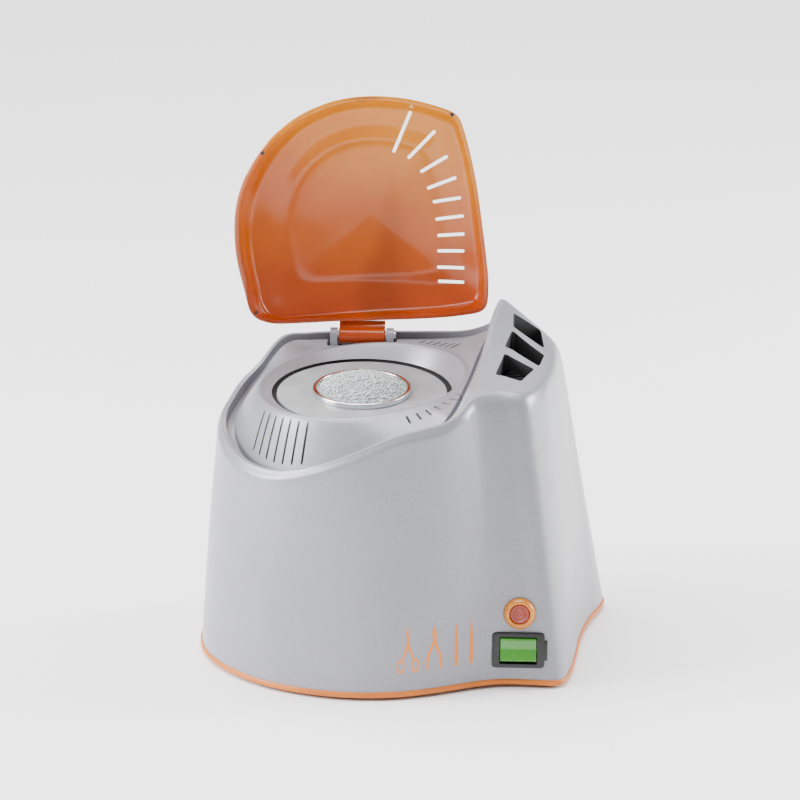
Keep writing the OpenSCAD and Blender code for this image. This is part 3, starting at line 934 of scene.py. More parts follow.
@dataclass(frozen=True)
class AmberShell:
    """Clear orange plastic, lighter and yellower towards the free end of the lid as painted light, with
    painted shadow streaks and a faint painted glow.
    """

    name: str = "amber_shell"
    low: Colour = (0.42, 0.045, 0.0003)
    mid: Colour = (0.52, 0.10, 0.0006)
    high: Colour = (0.70, 0.25, 0.001)
    # Colour and strength of the painted shadow streaks down the lid.
    shade_streak_tone: Colour = (0.20, 0.028, 0.0004)
    shade_streak_strength: float = 0.5
    # Heights in metres over which the painted light turns the lid lighter and yellower.
    floor: float = 0.15
    top: float = 0.27

    def build(self) -> bpy.types.Material:
        """Makes the material.

        Returns:
            The material.
        """
        s = Shader(self.name)
        p = s.coordinates()
        x, _, z = s.axes(p)
        drift = (s.noise(p, 22.0, 2.0) - 0.5) * 0.05
        # Painted light: the colour grows lighter and yellower up the open lid and towards +x.
        lower = s.colour((z + drift).step(self.floor, (self.floor + self.top) / 2), self.low, self.mid)
        blend = (z + drift + x * 0.3).step((self.floor + self.top) / 2 - 0.01, self.top)
        warm = s.colour(blend, lower, self.high)
        # Painted shadow: vertical streaks of darker orange.
        streak = s.noise(s.coordinates(scale=(1, 1, 0.3)), 24.0, 1.0).step(0.52, 0.72) * self.shade_streak_strength
        base = s.colour(streak, warm, self.shade_streak_tone)
        scuff = s.noise(s.coordinates(scale=(1, 1, 0.15)), 900.0, 3.0)
        # The faint emission is a painted glow; the lid holds no lamp.
        return s.set(Base_Color=base, Roughness=0.16 + scuff * 0.08, Transmission_Weight=0.3, IOR=1.4,
                     Normal=s.bump(s.noise(p, 60.0, 2.0), 0.05, 0.0006), Coat_Weight=0.25,
                     Coat_Roughness=0.08, Emission_Color=base, Emission_Strength=0.1)


@dataclass(frozen=True)
class Plastic:
    """Plain coloured plastic with a fine moulded grain."""

    name: str
    tone: Colour
    rough: float = 0.4
    coat: float = 0.0
    grain: float = 900.0
    # Strength of a painted glow: emission on a part that is no lit lamp.
    painted_glow: float = 0.0
    clear: float = 0.0

    def build(self) -> bpy.types.Material:
        """Makes the material.

        Returns:
            The material.
        """
        s = Shader(self.name)
        p = s.coordinates()
        cloud = s.noise(p, 45.0, 3.0)
        grain = s.noise(p, self.grain, 2.0)
        dark = tuple(c * 0.82 for c in self.tone)
        base = s.colour(cloud.step(0.3, 0.7), dark, self.tone)
        values = {"Base_Color": base, "Roughness": self.rough + (grain - 0.5) * 0.12,
                  "Normal": s.bump(grain, 0.15, 0.00008), "Coat_Weight": self.coat,
                  "Transmission_Weight": self.clear}
        # Painted glow in the part's own colour.
        if self.painted_glow:
            values.update(Emission_Color=base, Emission_Strength=self.painted_glow)
        return s.set(**values)


class Brushing(Enum):
    """How the fine lines of a metal run."""

    NONE = "none"
    ROUND = "round"
    LONG = "long"


@dataclass(frozen=True)
class Metal:
    """Bare or plated metal with brushing and light smudges."""

    name: str
    tone: Colour
    rough: float = 0.3
    brushing: Brushing = Brushing.NONE
    origin: tuple[float, float, float] = (0.0, 0.0, 0.0)
    turn: tuple[float, float, float] = (0.0, 0.0, 0.0)
    bare: float = 1.0

    def build(self) -> bpy.types.Material:
        """Makes the material.

        Returns:
            The material.
        """
        s = Shader(self.name)
        p = s.coordinates(self.origin, self.turn)
        smudge = s.noise(p, 70.0, 4.0)
        if self.brushing is Brushing.ROUND:
            x, y, _ = s.axes(p)
            radius = (x * x + y * y) ** 0.5
            lines = s.node("ShaderNodeTexNoise", {"noise_dimensions": "1D"},
                           {"W": radius, "Scale": 2600.0, "Detail": 3.0})
            line = Val(s.tree, lines.outputs[0])
        elif self.brushing is Brushing.LONG:
            line = s.noise(s.coordinates(self.origin, self.turn, (1, 1, 0.02)), 2400.0, 3.0)
        else:
            line = s.noise(p, 1200.0, 2.0)
        dark = tuple(c * 0.8 for c in self.tone)
        return s.set(Base_Color=s.colour(smudge.step(0.3, 0.75), dark, self.tone), Metallic=self.bare,
                     Roughness=self.rough + (smudge - 0.5) * 0.16 + (line - 0.5) * 0.1,
                     Normal=s.bump(line, 0.2, 0.00006))


@dataclass(frozen=True)
class BeadGlass:
    """Small white glass beads."""

    name: str = "bead_glass"
    tone: Colour = (0.78, 0.83, 0.82)

    def build(self) -> bpy.types.Material:
        """Makes the material.

        Returns:
            The material.
        """
        s = Shader(self.name)
        p = s.coordinates()
        grey = s.colour(s.noise(p, 500.0, 2.0).step(0.35, 0.7), (0.5, 0.56, 0.56), self.tone)
        return s.set(Base_Color=grey, Roughness=0.12 + s.noise(p, 900.0, 1.0) * 0.15,
                     Transmission_Weight=0.25, IOR=1.46, Coat_Weight=0.4)


@dataclass(frozen=True)
class Fibre:
    """Felted fibre or woven sleeve."""

    name: str
    tone: Colour

    def build(self) -> bpy.types.Material:
        """Makes the material.

        Returns:
            The material.
        """
        s = Shader(self.name)
        p = s.coordinates()
        strand = s.noise(s.coordinates(scale=(1, 1, 0.2)), 1500.0, 4.0, 0.7)
        dark = tuple(c * 0.6 for c in self.tone)
        return s.set(Base_Color=s.colour(strand.step(0.35, 0.65), dark, self.tone), Roughness=0.92,
                     Normal=s.bump(strand + s.noise(p, 400.0, 3.0), 0.6, 0.0004))


# ---------------------------------------------------------------- geometry nodes


class Grower:
    """A Geometry Nodes tree built in code, with named inputs."""

    def __init__(self, name: str) -> None:
        """Starts an empty tree with a geometry input and output.

        Args:
            name: Name of the tree.
        """
        self.tree = bpy.data.node_groups.new(name, "GeometryNodeTree")
        self.keys: dict[str, str] = {}
        face = self.tree.interface
        face.new_socket("Geometry", in_out="INPUT", socket_type="NodeSocketGeometry")
        face.new_socket("Geometry", in_out="OUTPUT", socket_type="NodeSocketGeometry")
        self.source = self.tree.nodes.new("NodeGroupInput")
        self.sink = self.tree.nodes.new("NodeGroupOutput")

    def number(self, name: str, default: float, whole: bool = False) -> bpy.types.NodeSocket:
        """Adds a named number input and gives its socket.

        Args:
            name: Name of the input.
            default: Default value.
            whole: True for a whole number.

        Returns:
            The output socket.
        """
        kind = "NodeSocketInt" if whole else "NodeSocketFloat"
        item = self.tree.interface.new_socket(name, in_out="INPUT", socket_type=kind)
        item.default_value = int(default) if whole else default
        self.keys[name] = item.identifier
        return next(out for out in self.source.outputs if out.identifier == item.identifier)

    def node(self, kind: str, settings: dict[str, object] | None = None,
             values: dict[str | int, object] | None = None) -> bpy.types.Node:
        """Adds a node: settings first, then the values or links of its inputs.

        Args:
            kind: Type of the node.
            settings: Attributes by name.
            values: Input values or links.

        Returns:
            The node.
        """
        node = self.tree.nodes.new(kind)
        for key, value in (settings or {}).items():
            setattr(node, key, value)
        for key, value in (values or {}).items():
            if isinstance(value, bpy.types.NodeSocket):
                self.tree.links.new(value, node.inputs[key])
            else:
                node.inputs[key].default_value = value
        return node

    def math(self, operation: str, a: object, b: object = 0.0) -> bpy.types.NodeSocket:
        """Adds a Math node and gives its result.

        Args:
            operation: Operation of the node.
            a: First value.
            b: Second value.

        Returns:
            The output socket.
        """
        return self.node("ShaderNodeMath", {"operation": operation}, {0: a, 1: b}).outputs[0]

    def finish(self, geometry: bpy.types.NodeSocket, material: bpy.types.Material) -> None:
        """Ends the tree in Realize Instances and Set Material.

        Args:
            geometry: Geometry to finish.
            material: Material to use.
        """
        real = self.node("GeometryNodeRealizeInstances", {}, {0: geometry})
        dressed = self.node("GeometryNodeSetMaterial", {},
                            {"Geometry": real.outputs[0], "Material": material})
        self.tree.links.new(dressed.outputs[0], self.sink.inputs[0])

    def grow(self, name: str, base: bpy.types.Mesh | None = None, **values: float) -> bpy.types.Object:
        """Runs the tree and gives a plain object.

        Args:
            name: Name of the new object.
            base: Mesh the tree starts from.
            values: Inputs by name, with underscores for spaces.

        Returns:
            The new object, with no modifier.
        """
        carrier = Mesher.link(base or bpy.data.meshes.new(name + "_seed"), name + "_seed")
        mod = carrier.modifiers.new("Grow", "NODES")
        mod.node_group = self.tree
        for key, value in values.items():
            mod[self.keys[key.replace("_", " ")]] = value
        graph = bpy.context.evaluated_depsgraph_get()
        mesh = bpy.data.meshes.new_from_object(carrier.evaluated_get(graph), depsgraph=graph)
        bpy.data.objects.remove(carrier)
        mesh.name = name
        return Mesher.link(mesh, name)


# ---------------------------------------------------------------- sub-assemblies


@dataclass
class Kit:
    """Gives finished pieces to the frame and reports them."""

    count: int = 0

    def add(self, obj: bpy.types.Object, body: Body, slot: str, *stands_for: str,
            materials: Sequence[bpy.types.Material] = ()) -> bpy.types.Object:
        """Dresses a piece, lets it ride on a body and reports it.

        Args:
            obj: The finished piece, at the origin.
            body: Body it moves with.
            slot: Name of a material slot; not used.
            stands_for: Frame nodes it is shown in place of.
            materials: Materials in slot order; none keeps the present ones.

        Returns:
            The same object.
        """
        if materials:
            obj.data.materials.clear()
            for material in materials:
                obj.data.materials.append(material)
        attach(obj, body.value)
        if stands_for:
            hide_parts(*stands_for)
        self.count += 1
        LOG.info("%s rides on %s: %d faces", obj.name, body.value, len(obj.data.polygons))
        return obj

    def dress(self, node: str, material: bpy.types.Material) -> None:
        """Gives a carried-over frame node its material.

        Args:
            node: Name of the frame node.
            material: Material to use.
        """
        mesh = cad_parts[node].data
        mesh.materials.clear()
        mesh.materials.append(material)
        LOG.info("%s keeps its shape, in %s", node, material.name)


@dataclass
class Skin:
    """The rings that the housing, its trim and its deck share."""

    layout: Layout
    sub: int = 5

    def __post_init__(self) -> None:
        """Works out the rings from the stations."""
        table = np.array(STATIONS, float)
        lay = self.layout
        self.lip = closed_spline(table[:, [0, 1, 2]], self.sub)
        self.edge = closed_spline(table[:, [4, 5, 6]], self.sub)
        self.shoulder = closed_spline(table[:, [7, 8, 9]], self.sub)
        plan = np.pad(table[:, [10, 11]], ((0, 0), (0, 1)))
        self.foot = at_height(closed_spline(plan, self.sub), lay.skirt_z)
        deck_z = closed_spline(table[:, [3]], self.sub)[:, 0]
        self.deck = inward(self.lip, lay.lip_w + lay.channel_w)
        self.deck[:, 2] = deck_z
        self.channel_in = inward(self.deck, -0.4, -lay.channel_d)
        self.channel_out = inward(self.lip, lay.lip_w + 0.3)
        self.channel_out[:, 2] = deck_z - lay.channel_d
        self.crest_out = self.round_ring(lay.crest_r + 2.6, -2)

    def round_ring(self, radius: float, dz: float) -> Array:
        """Gives a ring on the sloping crest, at the angles of the deck ring.

        Args:
            radius: Radius in millimetres.
            dz: Step upwards in millimetres.

        Returns:
            The new ring.
        """
        angle = np.arctan2(self.deck[:, 1], self.deck[:, 0])
        x, y = radius * np.cos(angle), radius * np.sin(angle)
        return np.stack([x, y, self.layout.crest_z + 0.085 * x + 0.09 * y + dz], axis=1)

    def floor_ring(self, radius: float, z: float) -> Array:
        """Gives a ring on the tilted plane of the well.

        Args:
            radius: Radius in millimetres.
            z: Height at the axis.

        Returns:
            The new ring.
        """
        angle = np.arctan2(self.deck[:, 1], self.deck[:, 0])
        x, y = radius * np.cos(angle), radius * np.sin(angle)
        tilt = math.tan(math.radians(self.layout.well_tilt))
        return np.stack([x, y, z + y * tilt], axis=1)

    def outside(self) -> list[tuple[Array, float]]:
        """Gives the outer rings of the housing with the crease of each, foot first.

        Returns:
            Rings and creases.
        """
        lay = self.layout
        return [
            (self.foot, 1.0),
            (between(self.foot, self.shoulder, 0.06, 0.15), 0.0),
            (between(self.foot, self.shoulder, 0.35, 0.6), 0.0),
            (between(self.foot, self.shoulder, 0.7, 0.6), 0.0),
            (between(self.foot, self.shoulder, 0.93, 0.12), 0.0),
            (self.shoulder, 0.0),
            (between(self.shoulder, self.edge, 0.55, 0.7, 0.6), 0.0),
            (self.edge, 0.25),
            (between(self.edge, self.lip, 0.85, 0, 0.5), 0.0),
            (self.lip, 0.5),
            (inward(self.lip, lay.lip_w), 0.55),
            (self.channel_out, 0.6),
            (self.channel_in, 0.6),
            (self.deck, 0.45),
            (between(self.deck, self.crest_out, 0.12, 0, 0.1), 0.0),
            (between(self.deck, self.crest_out, 0.5, 0, 0.8), 0.0),
            (self.crest_out, 0.0),
            (self.round_ring(lay.crest_r, 0), 0.15),
            (self.round_ring(lay.crest_r - 1.4, -1.4), 0.0),
            (self.floor_ring(lay.floor_r, lay.well_z + 0.8), 0.85),
        ]

    def inside(self) -> list[tuple[Array, float]]:
        """Gives the inner rings of the housing with the crease of each, well first.

        Returns:
            Rings and creases.
        """
        lay = self.layout
        under = between(inward(self.lip, lay.lip_w + 2, -lay.wall - 0.6),
                        inward(self.edge, lay.wall + 0.8, -lay.wall - 0.6), 0.5)
        return [
            (self.floor_ring(lay.floor_r + lay.wall, lay.well_z + 0.8), 0.8),
            (self.round_ring(lay.crest_r + 1.2, -5), 0.0),
            (inward(self.deck, 2, -lay.wall - lay.channel_d - 0.2), 0.0),
            (inward(self.channel_out, 0.2, -lay.wall - 0.2), 0.0),
            (under, 0.0),
            (inward(self.shoulder, lay.wall + 0.6, -2), 0.0),
            (between(self.foot, self.shoulder, 0.7, 0.6 - lay.wall), 0.0),
            (between(self.foot, self.shoulder, 0.35, 0.6 - lay.wall), 0.0),
            (inward(self.foot, lay.wall), 1.0),
        ]


def creased_loft(name: str, rows: Sequence[tuple[Array, float]], matrix: Matrix, levels: int = 2,
                 dark_from: int | None = None) -> bpy.types.Object:
    """Skins creased rings and smooths them by subdivision.

    Args:
        name: Name of the object.
        rows: Rings and their creases, a closed run.
        matrix: Matrix from the rings to the row frame.
        levels: Subdivision levels.
        dark_from: First band that takes the second material.

    Returns:
        The new object with its subdivision applied.
    """
    n = len(rows[0][0])
    obj = Mesher.loft(name, [ring for ring, _ in rows], matrix)
    mesh = obj.data
    if dark_from is not None:
        index = [1 if i // n >= dark_from else 0 for i in range(len(mesh.polygons))]
        mesh.materials.append(None)
        mesh.materials.append(None)
        mesh.polygons.foreach_set("material_index", index)
    crease = mesh.attributes.new("crease_edge", "FLOAT", "EDGE")
    values = [0.0] * len(mesh.edges)
    for edge in mesh.edges:
        a, b = edge.vertices
        if a // n == b // n:
            values[edge.index] = rows[a // n][1]
    crease.data.foreach_set("value", values)
    Mesher.modify(obj, "SUBSURF", levels=levels, render_levels=levels)
    return Mesher.freeze(obj)


def rounded(outline: Sequence[Sequence[float]], radius: float, steps: int = 5) -> list[tuple[float, float]]:
    """Rounds the corners of a plan outline.

    Args:
        outline: Plan corners.
        radius: Radius in millimetres.
        steps: Steps round each corner.

    Returns:
        The plan corners.
    """
    points = [np.array(p, float) for p in outline]
    out: list[tuple[float, float]] = []
    for i, corner in enumerate(points):
        before, after = points[i - 1], points[(i + 1) % len(points)]
        u = (before - corner) / np.linalg.norm(before - corner)
        v = (after - corner) / np.linalg.norm(after - corner)
        half = math.acos(float(np.clip(u @ v, -1, 1))) / 2
        reach = min(radius / math.tan(half), np.linalg.norm(before - corner) * 0.45,
                    np.linalg.norm(after - corner) * 0.45)
        a, b = corner + u * reach, corner + v * reach
        for k in range(steps + 1):
            t = k / steps
            out.append(tuple((1 - t) ** 2 * a + 2 * t * (1 - t) * corner + t * t * b))
    return out


def rectangle(width: float, height: float, radius: float, steps: int = 5) -> list[tuple[float, float]]:
    """Gives a centred rectangle with round corners.

    Args:
        width: Width in millimetres.
        height: Height in millimetres.
        radius: Radius in millimetres.
        steps: Steps round each corner.

    Returns:
        The plan corners.
    """
    w, h = width / 2, height / 2
    return rounded([(-w, -h), (w, -h), (w, h), (-w, h)], radius, steps)


class SlotRow:
    """Geometry Nodes tree that makes a row of round-ended cutters about an axis."""

    def __init__(self, material: bpy.types.Material) -> None:
        """Builds the tree.

        Args:
            material: Material to use.
        """
        g = Grower("slot_row")
        count = g.number("Count", 7, whole=True)
        start, pitch = g.number("Start Angle", 0.0), g.number("Pitch Angle", 0.1)
        inner, outer = g.number("Inner Radius", 0.05), g.number("Outer Radius", 0.06)
        width, height = g.number("Width", 0.0012), g.number("Height", 0.06)
        number = g.node("GeometryNodeInputIndex").outputs[0]
        line = g.node("GeometryNodeMeshLine", {"mode": "OFFSET"}, {"Count": count})
        angle = g.math("ADD", start, g.math("MULTIPLY", number, pitch))
        middle = g.math("MULTIPLY", g.math("ADD", inner, outer), 0.5)
        place = g.node("ShaderNodeCombineXYZ", {}, {
            0: g.math("MULTIPLY", middle, g.math("COSINE", angle)),
            1: g.math("MULTIPLY", middle, g.math("SINE", angle))})
        spread = g.node("GeometryNodeSetPosition", {},
                        {"Geometry": line.outputs[0], "Position": place.outputs[0]})
        turn = g.node("ShaderNodeCombineXYZ", {}, {2: angle})
        straight = g.math("SUBTRACT", g.math("SUBTRACT", outer, inner), width)
        size = g.node("ShaderNodeCombineXYZ", {}, {0: straight, 1: width, 2: height})
        bar = g.node("GeometryNodeMeshCube", {}, {"Size": size.outputs[0]})
        end = g.node("GeometryNodeMeshCylinder", {},
                     {"Vertices": 16, "Radius": g.math("MULTIPLY", width, 0.5), "Depth": height})
        reach = g.math("MULTIPLY", straight, 0.5)
        ends = []
        for side in (1.0, -1.0):
            shift = g.node("ShaderNodeCombineXYZ", {}, {0: g.math("MULTIPLY", reach, side)})
            ends.append(g.node("GeometryNodeTransform", {}, {"Geometry": end.outputs["Mesh"],
                                                             "Translation": shift.outputs[0]}).outputs[0])
        solid = g.node("GeometryNodeMeshBoolean", {"operation": "UNION", "solver": "EXACT"})
        for part in (bar.outputs["Mesh"], *ends):
            g.tree.links.new(part, solid.inputs["Mesh 2"])
        row = g.node("GeometryNodeInstanceOnPoints", {}, {
            "Points": spread.outputs[0], "Instance": solid.outputs[0], "Rotation": turn.outputs[0]})
        g.finish(row.outputs[0], material)
        self.grower = g

    def cutter(self, name: str, count: int, start: float, pitch: float, inner: float, outer: float,
               width: float, z: float, height: float, matrix: Matrix) -> bpy.types.Object:
        """Makes one row: angles in degrees, sizes in millimetres, placed by a matrix.

        Args:
            name: Name of the object.
            count: Number of slots.
            start: Angle of the first slot.
            pitch: Angle from slot to slot.
            inner: Inner radius.
            outer: Outer radius.
            width: Width in millimetres.
            z: Height in millimetres.
            height: Height in millimetres.
            matrix: Matrix from millimetres to the row frame.

        Returns:
            The object.
        """
        obj = self.grower.grow(
            name, Count=count, Start_Angle=math.radians(start), Pitch_Angle=math.radians(pitch),
            Inner_Radius=inner * MM, Outer_Radius=outer * MM, Width=width * MM, Height=height * MM)
        obj.data.transform(matrix @ Matrix.Translation((0, 0, z)) @ Matrix.Scale(1 / MM, 4))
        return obj


@dataclass
class Housing:
    """The moulded shell: tapered skirt, wing with vents, lip, channel, deck and bowl."""

    layout: Layout
    skin: Skin
    shell: bpy.types.Material
    # Black material, also used as painted shade on the inside of the shell, the window walls and the
    # pillars.
    dark: bpy.types.Material
    pillars: tuple[tuple[float, float], ...] = (
        (-73.8, 19.6), (-52.2, -47.7), (92, -48.2), (115.2, 57.5), (10, 74.6))
    slot_width: float = 1.3
    slot_rows: tuple[tuple[str, int, float, float, float, float], ...] = (
        ("left", 7, 211, 5.5, 53.5, 60.8), ("right", 7, 296, 5.6, 55, 60.2), ("rear", 6, 41, 4.2, 57, 64.3))
    """Name, count, first angle, pitch, inner and outer radius of each row of deck slots."""
    switch: tuple[float, float] = (80.0, 19.5)
    lamp: tuple[float, float] = (80.5, 38.0)

    def cutters(self) -> list[bpy.types.Object]:
        """Makes the tools that open the vents, slots, pocket and fitting holes.

        Returns:
            The cutters.
        """
        lay = self.layout
        place = lay.place()
        tools = []

        def windows(bm: bmesh.types.BMesh) -> None:
            """Adds the three vent prisms.

            Args:
                bm: Mesh that takes the shape.
            """
            for outline in WINDOWS:
                Mesher.prism(bm, rounded(outline, 1.6), 138, 178)
        vents = Mesher.shape("cut_windows", place, windows)
        # The walls of the vent windows take the black material as painted shade.
        vents.data.materials.append(self.dark)
        tools.append(vents)

        x, y = lay.hinge[0], 53.6
        pocket = [(px + x, py + y + 7.2) for px, py in rectangle(36, 14.4, 1.5)]
        switch, lamp, inlet = lay.face(*self.switch), lay.face(*self.lamp), lay.inlet()
        tools += [
            Mesher.slab("cut_plain", place, pocket, 137, 157),
            Mesher.slab("cut_switch", switch, rectangle(21.2, 16, 0.6), -15, 15),
            Mesher.slab("seat_switch", switch, rectangle(26, 18, 1.8), 0.2, 10),
            Mesher.bar("cut_lamp", lamp, 5.6, -15, 15),
            Mesher.bar("seat_lamp", lamp, 8.2, 0.2, 10),
            Mesher.slab("cut_inlet", inlet, rectangle(28, 20.6, 1), -15, 15),
            Mesher.slab("seat_inlet", inlet, rectangle(50.6, 23, 1), 0, 10),
        ]
        rows = SlotRow(self.shell)
        for name, count, start, pitch, inner, outer in self.slot_rows:
            tools.append(rows.cutter("slots_" + name, count, start, pitch, inner, outer,
                                     self.slot_width, 130, 60, place))
        return tools

    def build(self, kit: Kit) -> bpy.types.Object:
        """Builds the shell with its openings and fixing pillars.

        Args:
            kit: Kit that takes the pieces.

        Returns:
            The object.
        """
        outside, inside = self.skin.outside(), self.skin.inside()
        # The well floor and the whole inside of the shell take the black material as painted shade.
        obj = creased_loft("housing_shell", outside + inside, self.layout.place(), 2, len(outside) - 1)
        for slot in (0, 1):
            obj.data.materials[slot] = (self.shell, self.dark)[slot]
        tools = self.cutters()
        for tool in tools:
            if not tool.data.materials:
                tool.data.materials.append(self.shell)
        Mesher.cut(obj, tools)
        Mesher.smooth(obj, 38)
        kit.add(obj, Body.BASE, "shell_grey", "housing")

        def posts(bm: bmesh.types.BMesh) -> None:
            """Adds the pillars that take the base screws.

            Args:
                bm: Mesh that takes the shape.
            """
            for x, y in self.pillars:
                at = Matrix.Translation((x, y, 0))
                Mesher.rod(bm, 5, self.layout.skirt_z + 0.4, 23.5, at, 32)
        pillars = Mesher.shape("fixing_pillars", self.layout.place(), posts)
        Mesher.round_edges(pillars, 0.5)
        Mesher.smooth(Mesher.freeze(pillars))
        # The pillars inside the shell are black as painted shade.
        kit.add(pillars, Body.BASE, "shell_grey", materials=[self.dark])
        return obj


@dataclass
class BaseTrim:
    """The orange strip round the foot."""

    layout: Layout
    skin: Skin
    material: bpy.types.Material

    def build(self, kit: Kit) -> None:
        """Builds the strip.

        Args:
            kit: Kit that takes the pieces.
        """
        foot, low, high = self.skin.foot, self.layout.base_z, self.layout.skirt_z
        rows = [
            (inward(at_height(foot, high), 1.5), 1.0), (inward(at_height(foot, low), 1.5), 1.0),
            (inward(at_height(foot, low), -0.5), 0.4), (inward(at_height(foot, low + 0.6), -1.0), 0.0),
            (inward(at_height(foot, high - 0.5), -0.95), 0.0), (inward(at_height(foot, high), -0.4), 0.6),
        ]
        obj = creased_loft("base_trim_strip", rows, self.layout.place(), 1)
        Mesher.smooth(obj, 45)
        kit.add(obj, Body.BASE, "trim_orange", "base_trim", materials=[self.material])


@dataclass
class Lid:
    """The clear orange lid with its raised arch, slots and hinge tongue."""

    layout: Layout
    material: bpy.types.Material
    thickness: float = 2.2
    middle: tuple[float, float, float] = (0.0, -4.0, 158.5)
    slot_width: float = 1.7
    tongue_width: float = 24.0
    sub: int = 5

    def __post_init__(self) -> None:
        """Works out the rim and the top ring."""
        table = np.array(LID_POINTS, float)
        self.rim = closed_spline(table[:, [0, 1, 2]], self.sub)
        self.top = closed_spline(table[:, [0, 1, 3]], self.sub)
        self.side = self.rim * 0.45 + self.top * 0.55
        ones = np.ones(len(self.top))
        self.plane = np.linalg.lstsq(np.column_stack([self.top[:, :2], ones]), self.top[:, 2], rcond=None)[0]

    def shrink(self, ring: Array, t: float, dz: float) -> Array:
        """Draws a ring towards the middle in plan and moves it up by dz.

        Args:
            ring: Ring of points.
            t: Share of the way to the middle.
            dz: Step upwards in millimetres.

        Returns:
            The new ring.
        """
        mid = np.array(self.middle)
        out = ring.copy()
        out[:, :2] = ring[:, :2] * (1 - t) + mid[:2] * t
        out[:, 2] += dz
        return out

    def to_middle(self, ring: Array, t: float, dz: float) -> Array:
        """Draws a ring towards the middle and onto one sloping plane, and moves it up by dz.

        Args:
            ring: Ring of points.
            t: Share of the way to the middle.
            dz: Step upwards in millimetres.

        Returns:
            The new ring.
        """
        out = ring * (1 - t) + np.array(self.middle) * t
        flat = out[:, :2] @ self.plane[:2] + self.plane[2]
        share = min(1.0, t / 0.7)
        share = share * share * (3 - 2 * share)
        dome = (self.middle[2] - self.plane @ (*self.middle[:2], 1.0)) * (1 - (1 - t) ** 2)
        out[:, 2] = out[:, 2] * (1 - share) + (flat + dome) * share + dz
        return out

    def rows(self) -> list[tuple[Array, float]]:
        """Gives the rings from the inner pole round the rim to the outer pole.

        Returns:
            Rings and creases.
        """
        t, wall, top, s, m = self.thickness, 0.036, self.top, self.shrink, self.to_middle
        return [
            (m(top, 0.97, 1.35 - t), 0.0), (m(top, 0.7, 1.2 - t), 0.0), (m(top, 0.42, 0.3 - t), 0.2),
            (m(top, 0.36, 1.6 - t), 0.3), (s(top, 0.25, 1.2 - t), 0.0), (s(top, 0.11, -0.4 - t), 0.1),
            (s(top, 0.045 + wall, -2.8 - t * 0.4), 0.0), (s(self.side, 0.013 + wall, 0), 0.0),
            (s(self.rim, wall, 0), 0.7),
            (self.rim, 0.7), (s(self.side, 0.013, 0), 0.0), (s(top, 0.045, -2.6), 0.0),
            (s(top, 0.1, -0.4), 0.1), (s(top, 0.25, 1.2), 0.0), (m(top, 0.36, 1.6), 0.3),
            (m(top, 0.4, 0.2), 0.2), (m(top, 0.7, 1.2), 0.0), (m(top, 0.97, 1.35), 0.0),
        ]

    def shell(self) -> bpy.types.Object:
        """Skins the lid, closes both poles and cuts the slots.

        Returns:
            The object.
        """
        lay = self.layout
        rows = self.rows()
        n = len(rows[0][0])
        obj = Mesher.loft("lid_shell", [ring for ring, _ in rows], lay.opened(), caps=True, wrap=False)
        mesh = obj.data
        crease = mesh.attributes.new("crease_edge", "FLOAT", "EDGE")
        for edge in mesh.edges:
            a, b = edge.vertices
            if a // n == b // n and max(a, b) < n * len(rows):
                crease.data[edge.index].value = rows[a // n][1]
        Mesher.modify(obj, "SUBSURF", levels=2, render_levels=2)
        Mesher.freeze(obj)

        def slots(bm: bmesh.types.BMesh) -> None:
            """Adds the round-ended cutters of the lid.

            Args:
                bm: Mesh that takes the shape.
            """
            for x1, y1, x2, y2 in LID_SLOTS:
                length, angle = math.hypot(x2 - x1, y2 - y1), math.atan2(y2 - y1, x2 - x1)
                at = Matrix.Translation(((x1 + x2) / 2, (y1 + y2) / 2, 0)) @ Matrix.Rotation(angle, 4, "Z")
                Mesher.prism(bm, rectangle(length, self.slot_width, self.slot_width * 0.5, 6), 140, 180, at)
        Mesher.cut(obj, [Mesher.shape("cut_lid", lay.opened(), slots)])
        return obj

    def tongue(self) -> bpy.types.Object:
        """Builds the hinge barrel and its arm.

        Returns:
            The object.
        """
        lay, half = self.layout, self.tongue_width / 2
        x, y, z = lay.hinge
        arm = [(0, 4), (-4.4, 4.8), (-5.9, 7), (-7.4, 8.6), (-7.4, 3.2), (-4.6, 1.4), (0, 1)]
        across = lay.opened() @ Matrix.Translation((x, y, z)) @ LENGTHWISE

        obj = Mesher.slab("lid_tongue_arm", across, rounded(arm, 0.6, 3), -half + 0.2, half - 0.2)
        barrel = Mesher.lathe("barrel", [(2.06, -half), (3.6, -half), (4, -half + 0.4), (4, half - 0.4),
                                         (3.6, half), (2.06, half)], across, 64)
        Mesher.join(obj, barrel)
        Mesher.cut(obj, [Mesher.bar("cut_bore", across, 2.06, -40, 40, sides=64)])
        return obj

    def build(self, kit: Kit) -> None:
        """Builds the lid and its tongue.

        Args:
            kit: Kit that takes the pieces.
        """
        for obj, node, angle in ((self.shell(), "lid", 38), (self.tongue(), "lid_tongue", 30)):
            obj.data.materials.clear()
            Mesher.smooth(obj, angle)
            kit.add(obj, Body.LID, "lid_amber", node, materials=[self.material])


